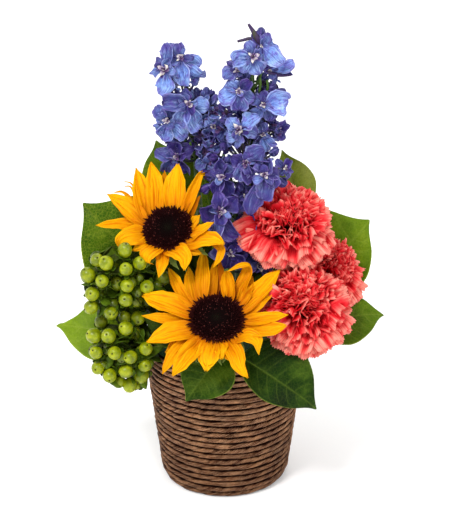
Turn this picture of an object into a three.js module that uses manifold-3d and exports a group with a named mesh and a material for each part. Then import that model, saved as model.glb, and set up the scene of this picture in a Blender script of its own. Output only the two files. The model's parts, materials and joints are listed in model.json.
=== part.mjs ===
// A flower arrangement in a round coiled-rope basket: two sunflowers, three carnations, three delphinium spikes,
// four sprigs of hypericum berries and broad salal leaves, all pushed into a block of floral foam in a plastic liner.
// Millimetres, +Z up. The origin is the middle of the basket's underside; the arrangement's front faces -Y.
import * as THREE from "three";
import { mergeVertices } from "three/addons/utils/BufferGeometryUtils.js";
import Module from "manifold-3d";

// ---------------------------------------------------------------- driving dimensions, millimetres
const GAP = 0.35; // clearance between neighbouring pieces
const BASKET_BOTTOM_RADIUS = 45.4; // outside, where the wall meets its rounded foot
const BASKET_FLARE = 0.125; // growth of the radius per millimetre of height
const BASKET_FOOT_ROUND = 6;
const COIL_PITCH = 4.65; // height of one turn of rope
const COIL_TURNS = 21;
const COIL_GROOVE = 1.2; // depth of the groove between two turns
const ROPE = 4.4; // wall thickness
const BASE_THICKNESS = 4.2;
const BASE_RADIUS = 37.8;
const ROUND_SIDES = 24; // facets around the basket and what it holds
const LINER_WALL = 0.9;
const LINER_TOP = 103.2;
const FOAM_TOP = 113;
const STEM_DEPTH = 20; // how far a stem is pushed into the foam
const LEAF_THICKNESS = 0.9;
const RAY_THICKNESS = 1;
const STEM_LEAF_THICKNESS = 0.8;
const SEPAL_THICKNESS = 1.2;
const BERRY_RADIUS = 4.9;

const SUNFLOWER_STEM_RADIUS = 3.4;
const CARNATION_STEM_RADIUS = 2.3;
const DELPHINIUM_STEM_RADIUS = 2.5;
const HYPERICUM_STEM_RADIUS = 1.7;
const PETIOLE_RADIUS = 1.3;

// Sunflowers: middle of the disc's back, the way the face points, disc radius, each ray's turn (degrees) and length, and
// the leaves on the stem: base, tip, half width.
const SUNFLOWERS = [
  {
    name: "sunflower_low", c: [-5.7, -62, 150.4], n: [-0.03, -0.62, 0.78], disc: 17.9, cup: 4,
    rays: [[134, 49.0], [118, 43.2], [102, 51.3], [94, 42.9], [89, 43.6], [81, 34.1], [60, 41.7], [53, 38.1], [40, 55.0], [29, 43.3],
      [3, 47.8], [354, 46.8], [319, 38.7], [297, 48.3], [279, 30.2], [262, 38.1], [238, 51.3], [231, 53.8], [203, 49.6], [179, 50.5],
      [164, 51.7], [217, 41.3], [294, 35.6]],
    foot: [-4, -31], bend: [[-4.6, -43, 124]],
  },
  {
    name: "sunflower_high", c: [-38.7, -30, 202.8], n: [-0.15, -0.62, 0.77], disc: 15.8, cup: 9,
    rays: [[113, 47.4], [90, 44.2], [126, 48.3], [120, 41.4], [103, 41.6], [159, 47.1], [189, 47.9], [209, 35.7], [223, 28.4], [252, 28.6],
      [272, 37.1], [300, 33.8], [348, 42.0], [337, 42.0], [24, 23.6], [9, 31.8], [53, 30.6], [69, 43.5], [329, 30.4]],
    foot: [-20, -6], bend: [[-24, -8, 138], [-33, -14, 172]],
    leaves: [[[-27.8, -10.5, 156], [-9, -18, 187], 11.5], [[-25.5, -9, 146], [-32, -25, 181], 9]],
  },
];
// Carnations: middle of the bloom, the way it faces, radius.
const CARNATIONS = [
  { name: "carnation_top", c: [41.8, -12, 197.3], n: [0.1, -0.52, 0.85], r: 32, foot: [16, -3], bend: [[29, 3, 136]] },
  { name: "carnation_low", c: [55.2, -39, 143.2], n: [0.26, -0.62, 0.74], r: 33, foot: [24, -22], bend: [] },
  { name: "carnation_right", c: [72.4, 14, 152.6], n: [0.5, -0.3, 0.81], r: 29, foot: [34, 12], bend: [] },
];
// Leaves: base, tip, the way the upper face points, half width, arch as a share of the length, place in the foam.
const LEAVES = [
  { name: "leaf_upper_left", base: [-34.7, 30, 199.4], tip: [-54.1, 36, 240.2], n: [-0.15, -0.8, 0.55], w: 22, arch: 0.08, foot: [-24, 24], bend: [[-27, 27, 160]] },
  { name: "leaf_left", base: [-50, 3, 155], tip: [-98.9, 8, 205.4], n: [-0.2, -0.88, 0.42], w: 27, arch: 0.1, foot: [-40, 8], bend: [[-46, 5, 132]] },
  { name: "leaf_left_low", base: [-66, -10, 106], tip: [-119.8, -4, 117.6], n: [-0.1, -0.7, 0.7], w: 22, arch: 0.12, foot: [-44, -8], bend: [[-56, -10, 114]] },
  { name: "leaf_front", base: [-2.1, -56, 122.4], tip: [-26.6, -74, 94.1], n: [0.05, -0.86, 0.5], w: 20, arch: 0.1, foot: [-10, -41], bend: [[-8, -50, 120]] },
  { name: "leaf_front_right", base: [10.3, -56, 120.9], tip: [63.3, -66, 83.6], n: [0.12, -0.84, 0.52], w: 23, arch: 0.1, foot: [9, -42], bend: [[9, -49, 119]] },
  { name: "leaf_right_low", base: [68.5, -8, 121.9], tip: [113, 2, 123.3], n: [0.15, -0.62, 0.76], w: 20, arch: 0.12, foot: [44, -7], bend: [[56, -8, 118]] },
  { name: "leaf_right", base: [66, 44, 132], tip: [104.5, 48, 175.6], n: [0.2, -0.88, 0.42], w: 27, arch: 0.08, foot: [38, 26], bend: [[50, 38, 118]] },
  { name: "leaf_upper_right", base: [53.1, 26, 191.8], tip: [41.4, 32, 235.7], n: [0.2, -0.85, 0.48], w: 24, arch: 0.08, foot: [20, 22], bend: [[36, 26, 150]] },
  { name: "leaf_back_left", base: [-44, 42, 138], tip: [-80, 66, 182], n: [-0.45, 0.72, 0.52], w: 24, arch: 0.1, foot: [-29, 36], bend: [[-36, 40, 122]] },
  { name: "leaf_back", base: [-6, 52, 146], tip: [-16, 72, 206], n: [0.0, 0.93, 0.35], w: 25, arch: 0.1, foot: [-5, 38], bend: [[-5, 45, 128]] },
  { name: "leaf_back_right", base: [30, 50, 138], tip: [46, 74, 188], n: [0.3, 0.82, 0.48], w: 24, arch: 0.1, foot: [18, 38], bend: [[24, 44, 124]] },
  { name: "leaf_back_low_left", base: [-19, 38, 122], tip: [-50, 86, 108], n: [-0.2, 0.4, 0.9], w: 24, arch: 0.14, foot: [-13, 29], bend: [] },
  { name: "leaf_back_low_right", base: [12, 42, 122], tip: [34, 94, 108], n: [0.15, 0.45, 0.88], w: 24, arch: 0.14, foot: [8, 30], bend: [] },
];
// Hypericum: a stem up to a hub, twigs from the hubs to the berries, and leaves: base, tip, half width.
const HYPERICUM = [
  {
    name: "hypericum_upper_outer", foot: [-37, -12], hubs: [[-56, -24, 134], [-76, -32, 160]],
    berries: [[-86.7, -43.3, 185.7], [-80.3, -47.7, 185.4], [-93.1, -43.6, 174.7], [-83.2, -50.4, 173.3], [-90.5, -46, 161.6],
      [-91.5, -43.9, 150.6], [-77.9, -46, 147.2], [-94, -28, 166], [-88, -22, 178],
      [-77.1, -36, 176.4], [-73.8, -38, 166.1], [-83.4, -30, 155.6], [-79.2, -34, 150.4]],
    leaves: [[[-53.5, -22.5, 131], [-78, -14, 128], 12], [[-60, -25, 139], [-78, -13, 160], 9]],
  },
  {
    name: "hypericum_upper_inner", foot: [-29, -15], hubs: [[-40, -22, 130], [-58, -34, 160]],
    berries: [[-66.8, -50.7, 182.4], [-67.6, -42.3, 192.6], [-57.5, -45.9, 184.6], [-66.2, -52.4, 170.8], [-53, -47.2, 167.4],
      [-67.4, -51, 159.4], [-59.8, -40.4, 140.7],
      [-62.2, -34, 174], [-61.1, -38, 153.2], [-53.9, -30, 149.5], [-42.5, -32.7, 167.4]],
    leaves: [[[-43, -24, 135], [-37, -19, 168], 10], [[-46, -26, 140], [-66, -22, 172], 9]],
  },
  {
    name: "hypericum_lower_outer", foot: [-38, -24], hubs: [[-52, -34, 118], [-72, -40, 118]],
    berries: [[-89.9, -48, 130.7], [-88.5, -52.1, 120], [-79.7, -52.5, 132.9], [-87.6, -51.1, 107.6], [-79.7, -52, 102.4],
      [-75.6, -56.1, 121.7], [-90, -34, 112], [-82, -26, 100],
      [-85.6, -36, 135.5], [-79.7, -38, 118.8], [-77.9, -38, 97]],
  },
  {
    name: "hypericum_lower_inner", foot: [-31, -30], hubs: [[-42, -38, 118], [-56, -41, 117]],
    berries: [[-67.8, -49.7, 137.3], [-64.8, -55.1, 118.1], [-68.2, -53.3, 106.4], [-54.3, -51.9, 122.9], [-55.3, -51, 109.8],
      [-66, -45.6, 91.5], [-57.8, -46.2, 99],
      [-68.8, -38, 139.4], [-61.9, -39, 128.8], [-70.8, -34, 111.2], [-61.3, -34, 104.9]],
  },
];
// Delphiniums: the stem's route above the foam, buds [place, radius], and florets [place, the way it faces, radius].
// A floret with a name is its own piece; the others, at the back and between, stay with their stem.
const DELPHINIUMS = [
  {
    name: "delphinium_left", foot: [-13, 14], route: [[-16.5, 18, 170], [-20.2, 20, 233.6], [-22.1, 20, 255.9], [-26.1, 19, 284], [-28.6, 17, 304]],
    buds: [[[-11.5, 14, 284], 3.4], [[-13.4, 24, 279], 3.2]],
    florets: [
      { name: "1", p: [-40.5, 5.0, 304.6], f: [-0.29, -0.87, 0.40], r: 14.3 },
      { name: "2", p: [-29.7, 7.0, 312.4], f: [-0.03, -0.86, 0.51], r: 14.5 },
      { name: "3", p: [-39.0, 8.0, 266.9], f: [-0.34, -0.85, 0.40], r: 13.6 },
      { name: "4", p: [-24.4, 3.0, 281.0], f: [0.01, -0.92, 0.38], r: 14.5 },
      { name: "5", p: [-33.1, 7.0, 240.9], f: [-0.28, -0.87, 0.39], r: 12.9 },
      { name: "6", p: [-13.1, 9.0, 239.4], f: [0.20, -0.88, 0.42], r: 11.0 },
      { p: [-8.2, 4.0, 264.0], f: [0.27, -0.89, 0.37], r: 8.8 },
      { p: [-16, 34, 296], f: [0.4, 0.9, 0.2], r: 12 },
      { p: [-22, 38, 268], f: [-0.2, 0.95, 0.1], r: 13 },
      { p: [-37, 32, 304], f: [-0.7, 0.7, 0.3], r: 12 },
      { p: [-28, 36, 240], f: [-0.3, 0.9, 0.1], r: 12 },
    ],
  },
  {
    name: "delphinium_right", foot: [7, 11], route: [[12, 8, 180], [17, 5, 235], [18.5, 4, 254.5], [18.3, 4, 294.3], [17.4, 4, 322]],
    buds: [[[15.5, 2, 333.5], 3.2], [[7.5, 2, 326], 3], [[24.5, 3, 330.5], 3.4]],
    florets: [
      { name: "1", p: [18.6, -9.0, 318.4], f: [0.03, -0.91, 0.41], r: 11.5 },
      { name: "2", p: [24.0, -2.0, 323.8], f: [0.26, -0.83, 0.50], r: 12.3 },
      { name: "3", p: [8.7, -3.0, 306.6], f: [-0.31, -0.83, 0.46], r: 9.2 },
      { name: "4", p: [9.4, -8.0, 293.5], f: [-0.23, -0.88, 0.41], r: 11.8 },
      { name: "5", p: [25.7, -4.0, 282.8], f: [0.25, -0.85, 0.46], r: 12.6 },
      { name: "6", p: [9.5, -10.0, 267.1], f: [-0.21, -0.90, 0.39], r: 12.5 },
      { p: [29.7, 4.0, 304.2], f: [0.45, -0.70, 0.55], r: 13.0 },
      { p: [36.3, 8.0, 260.3], f: [0.53, -0.66, 0.53], r: 8.0 },
      { p: [25.1, -4.0, 261.2], f: [0.23, -0.85, 0.47], r: 10.2 },
      { p: [14.3, 2.0, 270.6], f: [-0.25, -0.74, 0.63], r: 9.2 },
      { p: [20, 21, 308], f: [0.1, 0.95, 0.3], r: 12.5 },
      { p: [8, 20, 282], f: [-0.5, 0.85, 0.1], r: 13 },
      { p: [30, 20, 273], f: [0.6, 0.8, 0.1], r: 13 },
      { p: [16, 22, 252], f: [0.0, 0.95, 0.1], r: 12 },
    ],
  },
  {
    name: "delphinium_front", foot: [5, -12], route: [[5, -11, 160], [6.5, -9, 200], [12, -8, 228], [15, -7, 244]],
    buds: [[[24, -8, 257], 3.2]],
    florets: [
      { name: "1", p: [14.2, -22.0, 247.8], f: [-0.01, -0.92, 0.39], r: 13.8 },
      { name: "2", p: [40.8, -14.0, 240.3], f: [0.47, -0.79, 0.40], r: 7.5 },
      { name: "3", p: [-1.4, -18.0, 236.1], f: [-0.33, -0.85, 0.41], r: 12.6 },
      { name: "4", p: [26.2, -28.0, 241.5], f: [0.21, -0.91, 0.35], r: 14.5 },
      { name: "5", p: [-2.7, -29.0, 214.9], f: [-0.19, -0.92, 0.36], r: 14.5 },
      { name: "6", p: [3.4, -24.0, 181.6], f: [-0.06, -0.91, 0.40], r: 11.9 },
      { p: [22.8, -19.0, 170.3], f: [0.40, -0.82, 0.42], r: 11.6 },
      { p: [14.5, -14.0, 195.2], f: [0.33, -0.79, 0.51], r: 10.9 },
      { p: [13.7, -16.0, 220.6], f: [0.17, -0.86, 0.49], r: 9.4 },
    ],
  },
];

const COLOURS = {
  rope: [0x6f5140, 0.75], liner: [0x1d2420, 0.45], foam: [0x2f6b3a, 0.95], ray: [0xffb000, 0.55], disc: [0x2a0d10, 0.85],
  stem: [0x5d8230, 0.6], carnation: [0xe8505a, 0.65], leaf: [0x4a7d26, 0.45], berry: [0x9cb62c, 0.3], blue: [0x4a5ccc, 0.5],
};

// ---------------------------------------------------------------- solids
const wasm = await Module();
wasm.setup();
const V = (a) => new THREE.Vector3(...a);

// A closed geometry as a solid, with its shared vertices merged.
function solid(geometry) {
  const g = geometry.index ? geometry.toNonIndexed() : geometry.clone();
  const bare = new THREE.BufferGeometry().setAttribute("position", g.getAttribute("position"));
  const merged = mergeVertices(bare, 1e-3);
  const vertProperties = new Float32Array(merged.attributes.position.array);
  let triVerts = new Uint32Array(merged.index.array);
  let made = new wasm.Manifold(new wasm.Mesh({ numProp: 3, vertProperties, triVerts }));
  if (made.volume() < 0) {
    triVerts = triVerts.slice().reverse();
    made = new wasm.Manifold(new wasm.Mesh({ numProp: 3, vertProperties, triVerts }));
  }
  return made;
}
const join = (list) => list.reduce((a, b) => a.add(b));
function largest(s) {
  const bodies = s.decompose().sort((a, b) => b.volume() - a.volume());
  return bodies[0];
}
function geometryOf(s) {
  const m = s.getMesh(), n = m.numProp, v = new Float32Array((m.vertProperties.length / n) * 3);
  for (let i = 0; i < v.length / 3; i++) v.set(m.vertProperties.subarray(i * n, i * n + 3), i * 3);
  const g = new THREE.BufferGeometry().setAttribute("position", new THREE.BufferAttribute(v, 3)).setIndex(new THREE.BufferAttribute(new Uint32Array(m.triVerts), 1));
  g.computeVertexNormals();
  return g;
}

// A solid of revolution about +Z. The profile is [radius, height] from the lower axis point, up the outside, to the upper one.
function lathe(profile, sides) {
  return new THREE.LatheGeometry(profile.map(([r, z]) => new THREE.Vector2(r, z)), sides).rotateX(Math.PI / 2);
}
// The stretch of a curve from share t0 to its end.
class Stretch extends THREE.Curve {
  constructor(whole, t0) {
    super();
    this.whole = whole;
    this.t0 = t0;
  }
  getPoint(t, target = new THREE.Vector3()) {
    return this.whole.getPoint(this.t0 + (1 - this.t0) * t, target);
  }
}
// A round bar along a smooth curve through the points. It starts the share t0 of the way along.
function bar(points, radius, sides, steps, t0 = 0) {
  const ring = new THREE.Shape();
  for (let i = 0; i < sides; i++) {
    const a = (2 * Math.PI * i) / sides;
    if (i) ring.lineTo(radius * Math.cos(a), radius * Math.sin(a));
    else ring.moveTo(radius, 0);
  }
  ring.closePath();
  const whole = points.length > 2 ? new THREE.CatmullRomCurve3(points.map(V), false, "centripetal") : new THREE.LineCurve3(V(points[0]), V(points[1]));
  const extrudePath = t0 ? new Stretch(whole, t0) : whole;
  return new THREE.ExtrudeGeometry(ring, { steps, bevelEnabled: false, extrudePath });
}
// A thin sheet of even thickness: place(u, v) gives the middle surface for u in -1..1 across and v in 0..1 along.
function sheet(nu, nv, thickness, place) {
  const g = new THREE.BoxGeometry(2, 1, 1, nu, nv, 1), p = g.attributes.position, e = 1e-3;
  for (let i = 0; i < p.count; i++) {
    const u = p.getX(i), v = p.getY(i) + 0.5, w = p.getZ(i);
    const du = place(u + e, v).sub(place(u - e, v)), dv = place(u, v + e).sub(place(u, v - e));
    const q = place(u, v).addScaledVector(du.cross(dv).normalize(), w * thickness);
    p.setXYZ(i, q.x, q.y, q.z);
  }
  return g;
}
// A frame whose z axis is n and whose x axis is level, so that a ray's turn is counted from the viewer's right.
function facing(c, n) {
  const z = V(n).normalize(), x = new THREE.Vector3(0, 0, 1).cross(z).normalize(), y = z.clone().cross(x);
  return new THREE.Matrix4().makeBasis(x, y, z).setPosition(...c);
}
const along = (c, n, d) => { const q = V(n).normalize().multiplyScalar(d).add(V(c)); return [q.x, q.y, q.z]; };

// How broad a leaf is along its length: a rounded base, widest before the middle, and a point.
const leafShare = (t) => (t < 0.42 ? Math.pow(1 - Math.pow(1 - t / 0.42, 2.1), 0.62) : 1 - Math.pow((t - 0.42) / 0.58, 1.5));
// The small leaves on a stem, each [base, tip, half width], their upper faces towards the front.
function foliage(leaves = [], g) {
  return leaves.map(([base, tip, half]) => {
    const b = V(base), axis = V(tip).sub(b), a = axis.clone().normalize(), n = new THREE.Vector3(0, -0.9, 0.4);
    n.addScaledVector(a, -n.dot(a)).normalize();
    const side = a.clone().cross(n);
    return solid(sheet(1, 4, STEM_LEAF_THICKNESS + 2 * g, (u, v) => {
      const t = Math.min(Math.max(v, 0), 1);
      return b.clone().addScaledVector(axis, v).addScaledVector(side, u * (half * leafShare(t) + 0.8 + g));
    }));
  });
}

// ---------------------------------------------------------------- nodes
// Each entry: the solid, and fat, the same shape grown by the gap, which is taken out of later neighbours.
const nodes = new Map();
function put(name, look, make) {
  nodes.set(name, { look, body: make(0), fat: make(GAP) });
}

// Basket: the coiled wall, the last turn of rope as its rim, and the flat base it stands on.
const outer = (z) => BASKET_BOTTOM_RADIUS + BASKET_FLARE * z;
const wallTop = BASKET_FOOT_ROUND + COIL_PITCH * COIL_TURNS;
put("basket_wall", "rope", (g) => {
  const profile = [[BASE_RADIUS + GAP + 0.2, 0], [BASKET_BOTTOM_RADIUS - BASKET_FOOT_ROUND + 1.6, 0], [BASKET_BOTTOM_RADIUS - 1.6, 1.9]];
  for (let k = 0; k <= COIL_TURNS; k++) {
    const z = BASKET_FOOT_ROUND + COIL_PITCH * k;
    profile.push([outer(z) - COIL_GROOVE + g, z - (k ? 0 : 0.4) + (k === COIL_TURNS ? g : 0)]);
    if (k < COIL_TURNS) profile.push([outer(z + COIL_PITCH / 2) + g, z + COIL_PITCH / 2]);
  }
  profile.push([outer(wallTop) - ROPE - g, wallTop + g], [outer(BASKET_FOOT_ROUND) - ROPE - g, BASKET_FOOT_ROUND], [BASE_RADIUS + GAP + 0.2 - g, BASE_THICKNESS - 0.2], [BASE_RADIUS + GAP + 0.2, 0]);
  return solid(lathe(profile, ROUND_SIDES));
});
put("basket_rim", "rope", (g) => {
  const r = 2.35 + g, z = wallTop + GAP + 2.35, c = outer(z) - ROPE / 2, profile = [];
  for (let i = 0; i <= 6; i++) profile.push([c + r * Math.sin((2 * Math.PI * i) / 6), z - r * Math.cos((2 * Math.PI * i) / 6)]);
  profile[6] = profile[0];
  return solid(lathe(profile, ROUND_SIDES));
});
put("basket_base", "rope", (g) => solid(lathe([[0, 0], [BASE_RADIUS + g, 0], [BASE_RADIUS + g, BASE_THICKNESS + g], [0, BASE_THICKNESS + g]], ROUND_SIDES)));

const inner = (z) => outer(z) - ROPE;
const linerFloor = BASKET_FOOT_ROUND + 0.4;
put("liner", "liner", (g) => {
  const r0 = inner(linerFloor) - GAP - 0.6, r1 = inner(LINER_TOP) - GAP - 0.6;
  return solid(lathe([[0, linerFloor - g], [r0 + g, linerFloor - g], [r1 + g, LINER_TOP + g], [r1 - LINER_WALL - g, LINER_TOP + g], [r0 - LINER_WALL - g, linerFloor + LINER_WALL + g], [0, linerFloor + LINER_WALL + g]], ROUND_SIDES));
});
put("floral_foam", "foam", () => {
  const z0 = linerFloor + LINER_WALL + GAP, r0 = inner(z0) - LINER_WALL - 2 * GAP - 1.2, r1 = inner(LINER_TOP) - LINER_WALL - 2 * GAP - 1.2;
  return solid(lathe([[0, z0], [r0, z0], [r1, LINER_TOP], [r1 * 0.8, FOAM_TOP - 3], [0, FOAM_TOP]], ROUND_SIDES));
});

// A stem's foot stays the gap short of the bottom of its hole.
const footShare = (points) => 0.6 / new THREE.CatmullRomCurve3(points.map(V), false, "centripetal").getLength();
const footPoints = ([x, y]) => [[x, y, FOAM_TOP - STEM_DEPTH - 2], [x, y, FOAM_TOP - 1]];

// Sunflowers: stem, green cup with bracts, a ring of rays on a thin plate, and the dark disc in front of it.
for (const s of SUNFLOWERS) {
  const at = facing(s.c, s.n), end = along(s.c, s.n, -15.2);
  const route = [...footPoints(s.foot), ...s.bend, along(s.c, s.n, -26), end];
  put(s.name + "_stem", "stem", (g) => join([solid(bar(route, SUNFLOWER_STEM_RADIUS + 1.6 * g, 7, 8, g ? 0 : footShare(route))), ...foliage(s.leaves, g)]));
  put(s.name + "_disc", "disc", (g) => {
    const r = s.disc + g;
    return solid(lathe([[0, -0.2 - g], [r * 0.96, -0.2 - g], [r, 2.4], [r * 0.82, 5.2 + g], [r * 0.42, 5.6 + g], [0, 4.6 + g]], 18).applyMatrix4(at));
  });
  put(s.name + "_rays", "ray", (g) => {
    const plate = solid(lathe([[0, -3 - g], [s.disc - 1 + g, -3 - g], [s.disc - 1 + g, -0.2 - GAP + g], [0, -0.2 - GAP + g]], 18).applyMatrix4(at));
    const rays = s.rays.map(([turn, length], i) => {
      const a = (turn * Math.PI) / 180, level = -1.15 - (i % 2) * 1.3, half = Math.min(7.2, length * 0.15);
      return solid(sheet(1, 2, RAY_THICKNESS + 2 * g, (u, v) => {
        const t = Math.min(Math.max(v, -0.01), 1.01), w = (half * (0.55 + 1.9 * t - 2.35 * t * t) + 0.35 + g);
        const r = s.disc - 2.5 + (length + g - s.disc + 2.5) * v, x = u * w;
        const z = level + (s.cup - (i % 2) * 1.5) * t * t;
        return new THREE.Vector3(r * Math.cos(a) - x * Math.sin(a), r * Math.sin(a) + x * Math.cos(a), z).applyMatrix4(at);
      }));
    });
    return join([plate, ...rays]);
  });
  put(s.name + "_calyx", "stem", (g) => {
    const cup = solid(lathe([[0, -14.8 - g], [SUNFLOWER_STEM_RADIUS + 1.4 + g, -14.8 - g], [s.disc * 0.62 + g, -9], [s.disc - 1.5 + g, -3.4 + g], [0, -3.4 + g]], 12).applyMatrix4(at));
    const bracts = Array.from({ length: 8 }, (_, i) => {
      const a = (2 * Math.PI * (i + 0.3)) / 8;
      return solid(sheet(1, 1, 1 + 2 * g, (u, v) => {
        const w = 4.6 * (1 - 0.9 * Math.min(v, 1)) + 0.3 + g, r = s.disc - 7 + (18 + g) * v, x = u * w;
        return new THREE.Vector3(r * Math.cos(a) - x * Math.sin(a), r * Math.sin(a) + x * Math.cos(a), -5 - 4.5 * v).applyMatrix4(at);
      }));
    });
    return join([cup, ...bracts]);
  });
}

// Carnations: stem, tubular calyx, and the ruffled head of petals.
for (const s of CARNATIONS) {
  const at = facing(s.c, s.n), low = -0.6 * s.r, calyx = 21, end = along(s.c, s.n, low - calyx - GAP);
  const route = [...footPoints(s.foot), ...s.bend, along(s.c, s.n, low - calyx - 10), end];
  put(s.name + "_stem", "stem", (g) => solid(bar(route, CARNATION_STEM_RADIUS + 2.4 * g, 6, 9, g ? 0 : footShare(route))));
  put(s.name + "_calyx", "stem", (g) => solid(lathe([[0, low - calyx - g], [3.6 + g, low - calyx - g], [5.6 + g, low - calyx + 6], [7.4 + g, low - 2], [6 + g, low - GAP + g], [0, low - GAP + g]], 10).applyMatrix4(at)));
  put(s.name + "_petals", "carnation", (g) => {
    const r = s.r + g, geometry = lathe([[0, low - g], [0.3 * r, low + 1 - g], [0.78 * r, -0.3 * r - g], [1.02 * r, -0.1 * r], [0.98 * r, 0.14 * r], [0.78 * r, 0.42 * r + g], [0.45 * r, 0.6 * r + g], [0, 0.66 * r + g]], 20);
    const p = geometry.attributes.position;
    for (let i = 0; i < p.count; i++) {
      const x = p.getX(i), y = p.getY(i), z = p.getZ(i), q = Math.hypot(x, y);
      const ruffle = q > 0.5 * r ? 1 + 0.045 * Math.sin(7 * Math.atan2(y, x) + z) : 1;
      p.setXYZ(i, x * ruffle, y * ruffle, z);
    }
    return solid(geometry.applyMatrix4(at));
  });
}

// Delphiniums: a tall stem with buds, and five-sepalled florets on short stalks.
function floret(f, stalkEnd, g) {
  const at = facing(f.p, f.f), r = f.r + g, outline = new THREE.Shape();
  for (let i = 0; i < 15; i++) {
    const a = (2 * Math.PI * (Math.floor(i / 3) + [-0.24, 0.24, 0.5][i % 3])) / 5, q = r * [0.97, 0.97, 0.5][i % 3];
    if (i) outline.lineTo(q * Math.cos(a), q * Math.sin(a));
    else outline.moveTo(q, 0);
  }
  outline.closePath();
  const cup = new THREE.ExtrudeGeometry(outline, { depth: SEPAL_THICKNESS + 2 * g, steps: 1, bevelEnabled: false });
  const p = cup.attributes.position;
  for (let i = 0; i < p.count; i++) {
    const q = Math.hypot(p.getX(i), p.getY(i)) / f.r;
    p.setZ(i, p.getZ(i) - 1.5 - g + 2.2 * q * q);
  }
  const back = along(f.p, f.f, -0.4), mid = [(back[0] + stalkEnd[0]) / 2, (back[1] + stalkEnd[1]) / 2, (back[2] + stalkEnd[2]) / 2 - 1.5];
  return join([solid(cup.applyMatrix4(at)), solid(bar([back, mid, stalkEnd], 1.3 + g, 4, 2))]);
}
for (const d of DELPHINIUMS) {
  const points = [...footPoints(d.foot), ...d.route], curve = new THREE.CatmullRomCurve3(points.map(V), false, "centripetal");
  const samples = curve.getPoints(80);
  // The stalk leaves the stem a little below its floret.
  const rootOf = (q) => samples.reduce((a, b) => (Math.abs(b.z - (q[2] - 8)) < Math.abs(a.z - (q[2] - 8)) ? b : a));
  put(d.name + "_stem", "blue", (g) => {
    const parts = [solid(bar(points, DELPHINIUM_STEM_RADIUS + 1.6 * g, 6, 10, g ? 0 : footShare(points)))];
    for (const [q, r] of d.buds) {
      const root = rootOf(q);
      parts.push(solid(new THREE.SphereGeometry(r + g, 5, 4).scale(1, 1, 1.5).translate(...q)), solid(bar([q, [root.x, root.y, root.z]], 0.9 + g, 4, 1)));
    }
    for (const f of d.florets.filter((x) => !x.name)) { const root = rootOf(f.p); parts.push(floret(f, [root.x, root.y, root.z], g)); }
    return join(parts);
  });
  for (const f of d.florets.filter((x) => x.name)) {
    const root = rootOf(f.p), back = V(along(f.p, f.f, -3.5)), end = root.clone().add(back.clone().sub(root).setLength(DELPHINIUM_STEM_RADIUS + 0.6));
    put(d.name + "_floret_" + f.name, "blue", (g) => floret(f, [end.x, end.y, end.z], g));
  }
}

// Hypericum: a woody stem, forked twigs and the berries on their ends.
for (const h of HYPERICUM) {
  put(h.name, "berry", (g) => {
    const points = [...footPoints(h.foot), ...h.hubs];
    const parts = [solid(bar(points, HYPERICUM_STEM_RADIUS + 1.6 * g, 5, 6, g ? 0 : footShare(points))), ...foliage(h.leaves, g)];
    for (const b of h.berries) {
      const hub = h.hubs.reduce((a, c) => (V(c).distanceTo(V(b)) < V(a).distanceTo(V(b)) ? c : a));
      parts.push(solid(new THREE.SphereGeometry(BERRY_RADIUS + g, 6, 4).translate(...b)), solid(bar([hub, b], 0.9 + g, 4, 1)));
    }
    return join(parts);
  });
}

// Salal leaves: a broad blade folded a little along its midrib, on a petiole.
for (const l of LEAVES) {
  const base = V(l.base), axis = V(l.tip).sub(base), length = axis.length(), a = axis.clone().normalize();
  const n = V(l.n).addScaledVector(a, -V(l.n).dot(a)).normalize(), side = a.clone().cross(n);
  put(l.name, "leaf", (g) => {
    const blade = sheet(2, 5, LEAF_THICKNESS + 2 * g, (u, v) => {
      const t = Math.min(Math.max(v, 0), 1), w = l.w * leafShare(t) + 0.6 + g;
      return base.clone().addScaledVector(a, v * length + (v - 0.5) * 2 * g).addScaledVector(side, u * w)
        .addScaledVector(n, l.arch * length * 4 * t * (1 - t) + 0.16 * Math.abs(u) * w);
    });
    const b2 = base.clone().addScaledVector(a, 3);
    const points = [...footPoints(l.foot), ...l.bend, [b2.x, b2.y, b2.z]];
    return join([solid(blade), solid(bar(points, PETIOLE_RADIUS + 1.6 * g, 5, 5, g ? 0 : footShare(points)))]);
  });
}

// ---------------------------------------------------------------- clearances
// Earlier in this order keeps its shape; a later neighbour gives way and keeps the gap.
const rank = (name) => [/^basket_/, /^liner/, /_stem$/, /_calyx$/, /_disc$/, /^sunflower.*_rays$/, /^carnation.*_petals$/, /^hypericum/, /_floret_/, /^leaf_/, /^floral_foam/].findIndex((x) => x.test(name));
const order = [...nodes.keys()].sort((a, b) => rank(a) - rank(b));
order.forEach((name, i) => {
  const me = nodes.get(name);
  for (const other of order.slice(0, i)) {
    const fat = nodes.get(other).fat;
    if (me.body.intersect(fat).volume() > 1e-5) {
      me.body = me.body.subtract(fat);
      me.fat = me.fat.subtract(nodes.get(other).body);
    }
  }
  me.body = largest(me.body);
});

// ---------------------------------------------------------------- the scene graph
const group = new THREE.Group();
const groups = {};
for (const [name, node] of nodes) {
  const family = name.split("_").slice(0, name.startsWith("leaf") || name.startsWith("basket") ? 1 : 2).join("_");
  if (!groups[family]) group.add((groups[family] = new THREE.Group()));
  const [color, roughness] = COLOURS[node.look];
  const mesh = new THREE.Mesh(geometryOf(node.body), new THREE.MeshStandardMaterial({ color, roughness, metalness: 0 }));
  mesh.name = name;
  groups[family].add(mesh);
}

export default group;
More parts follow.
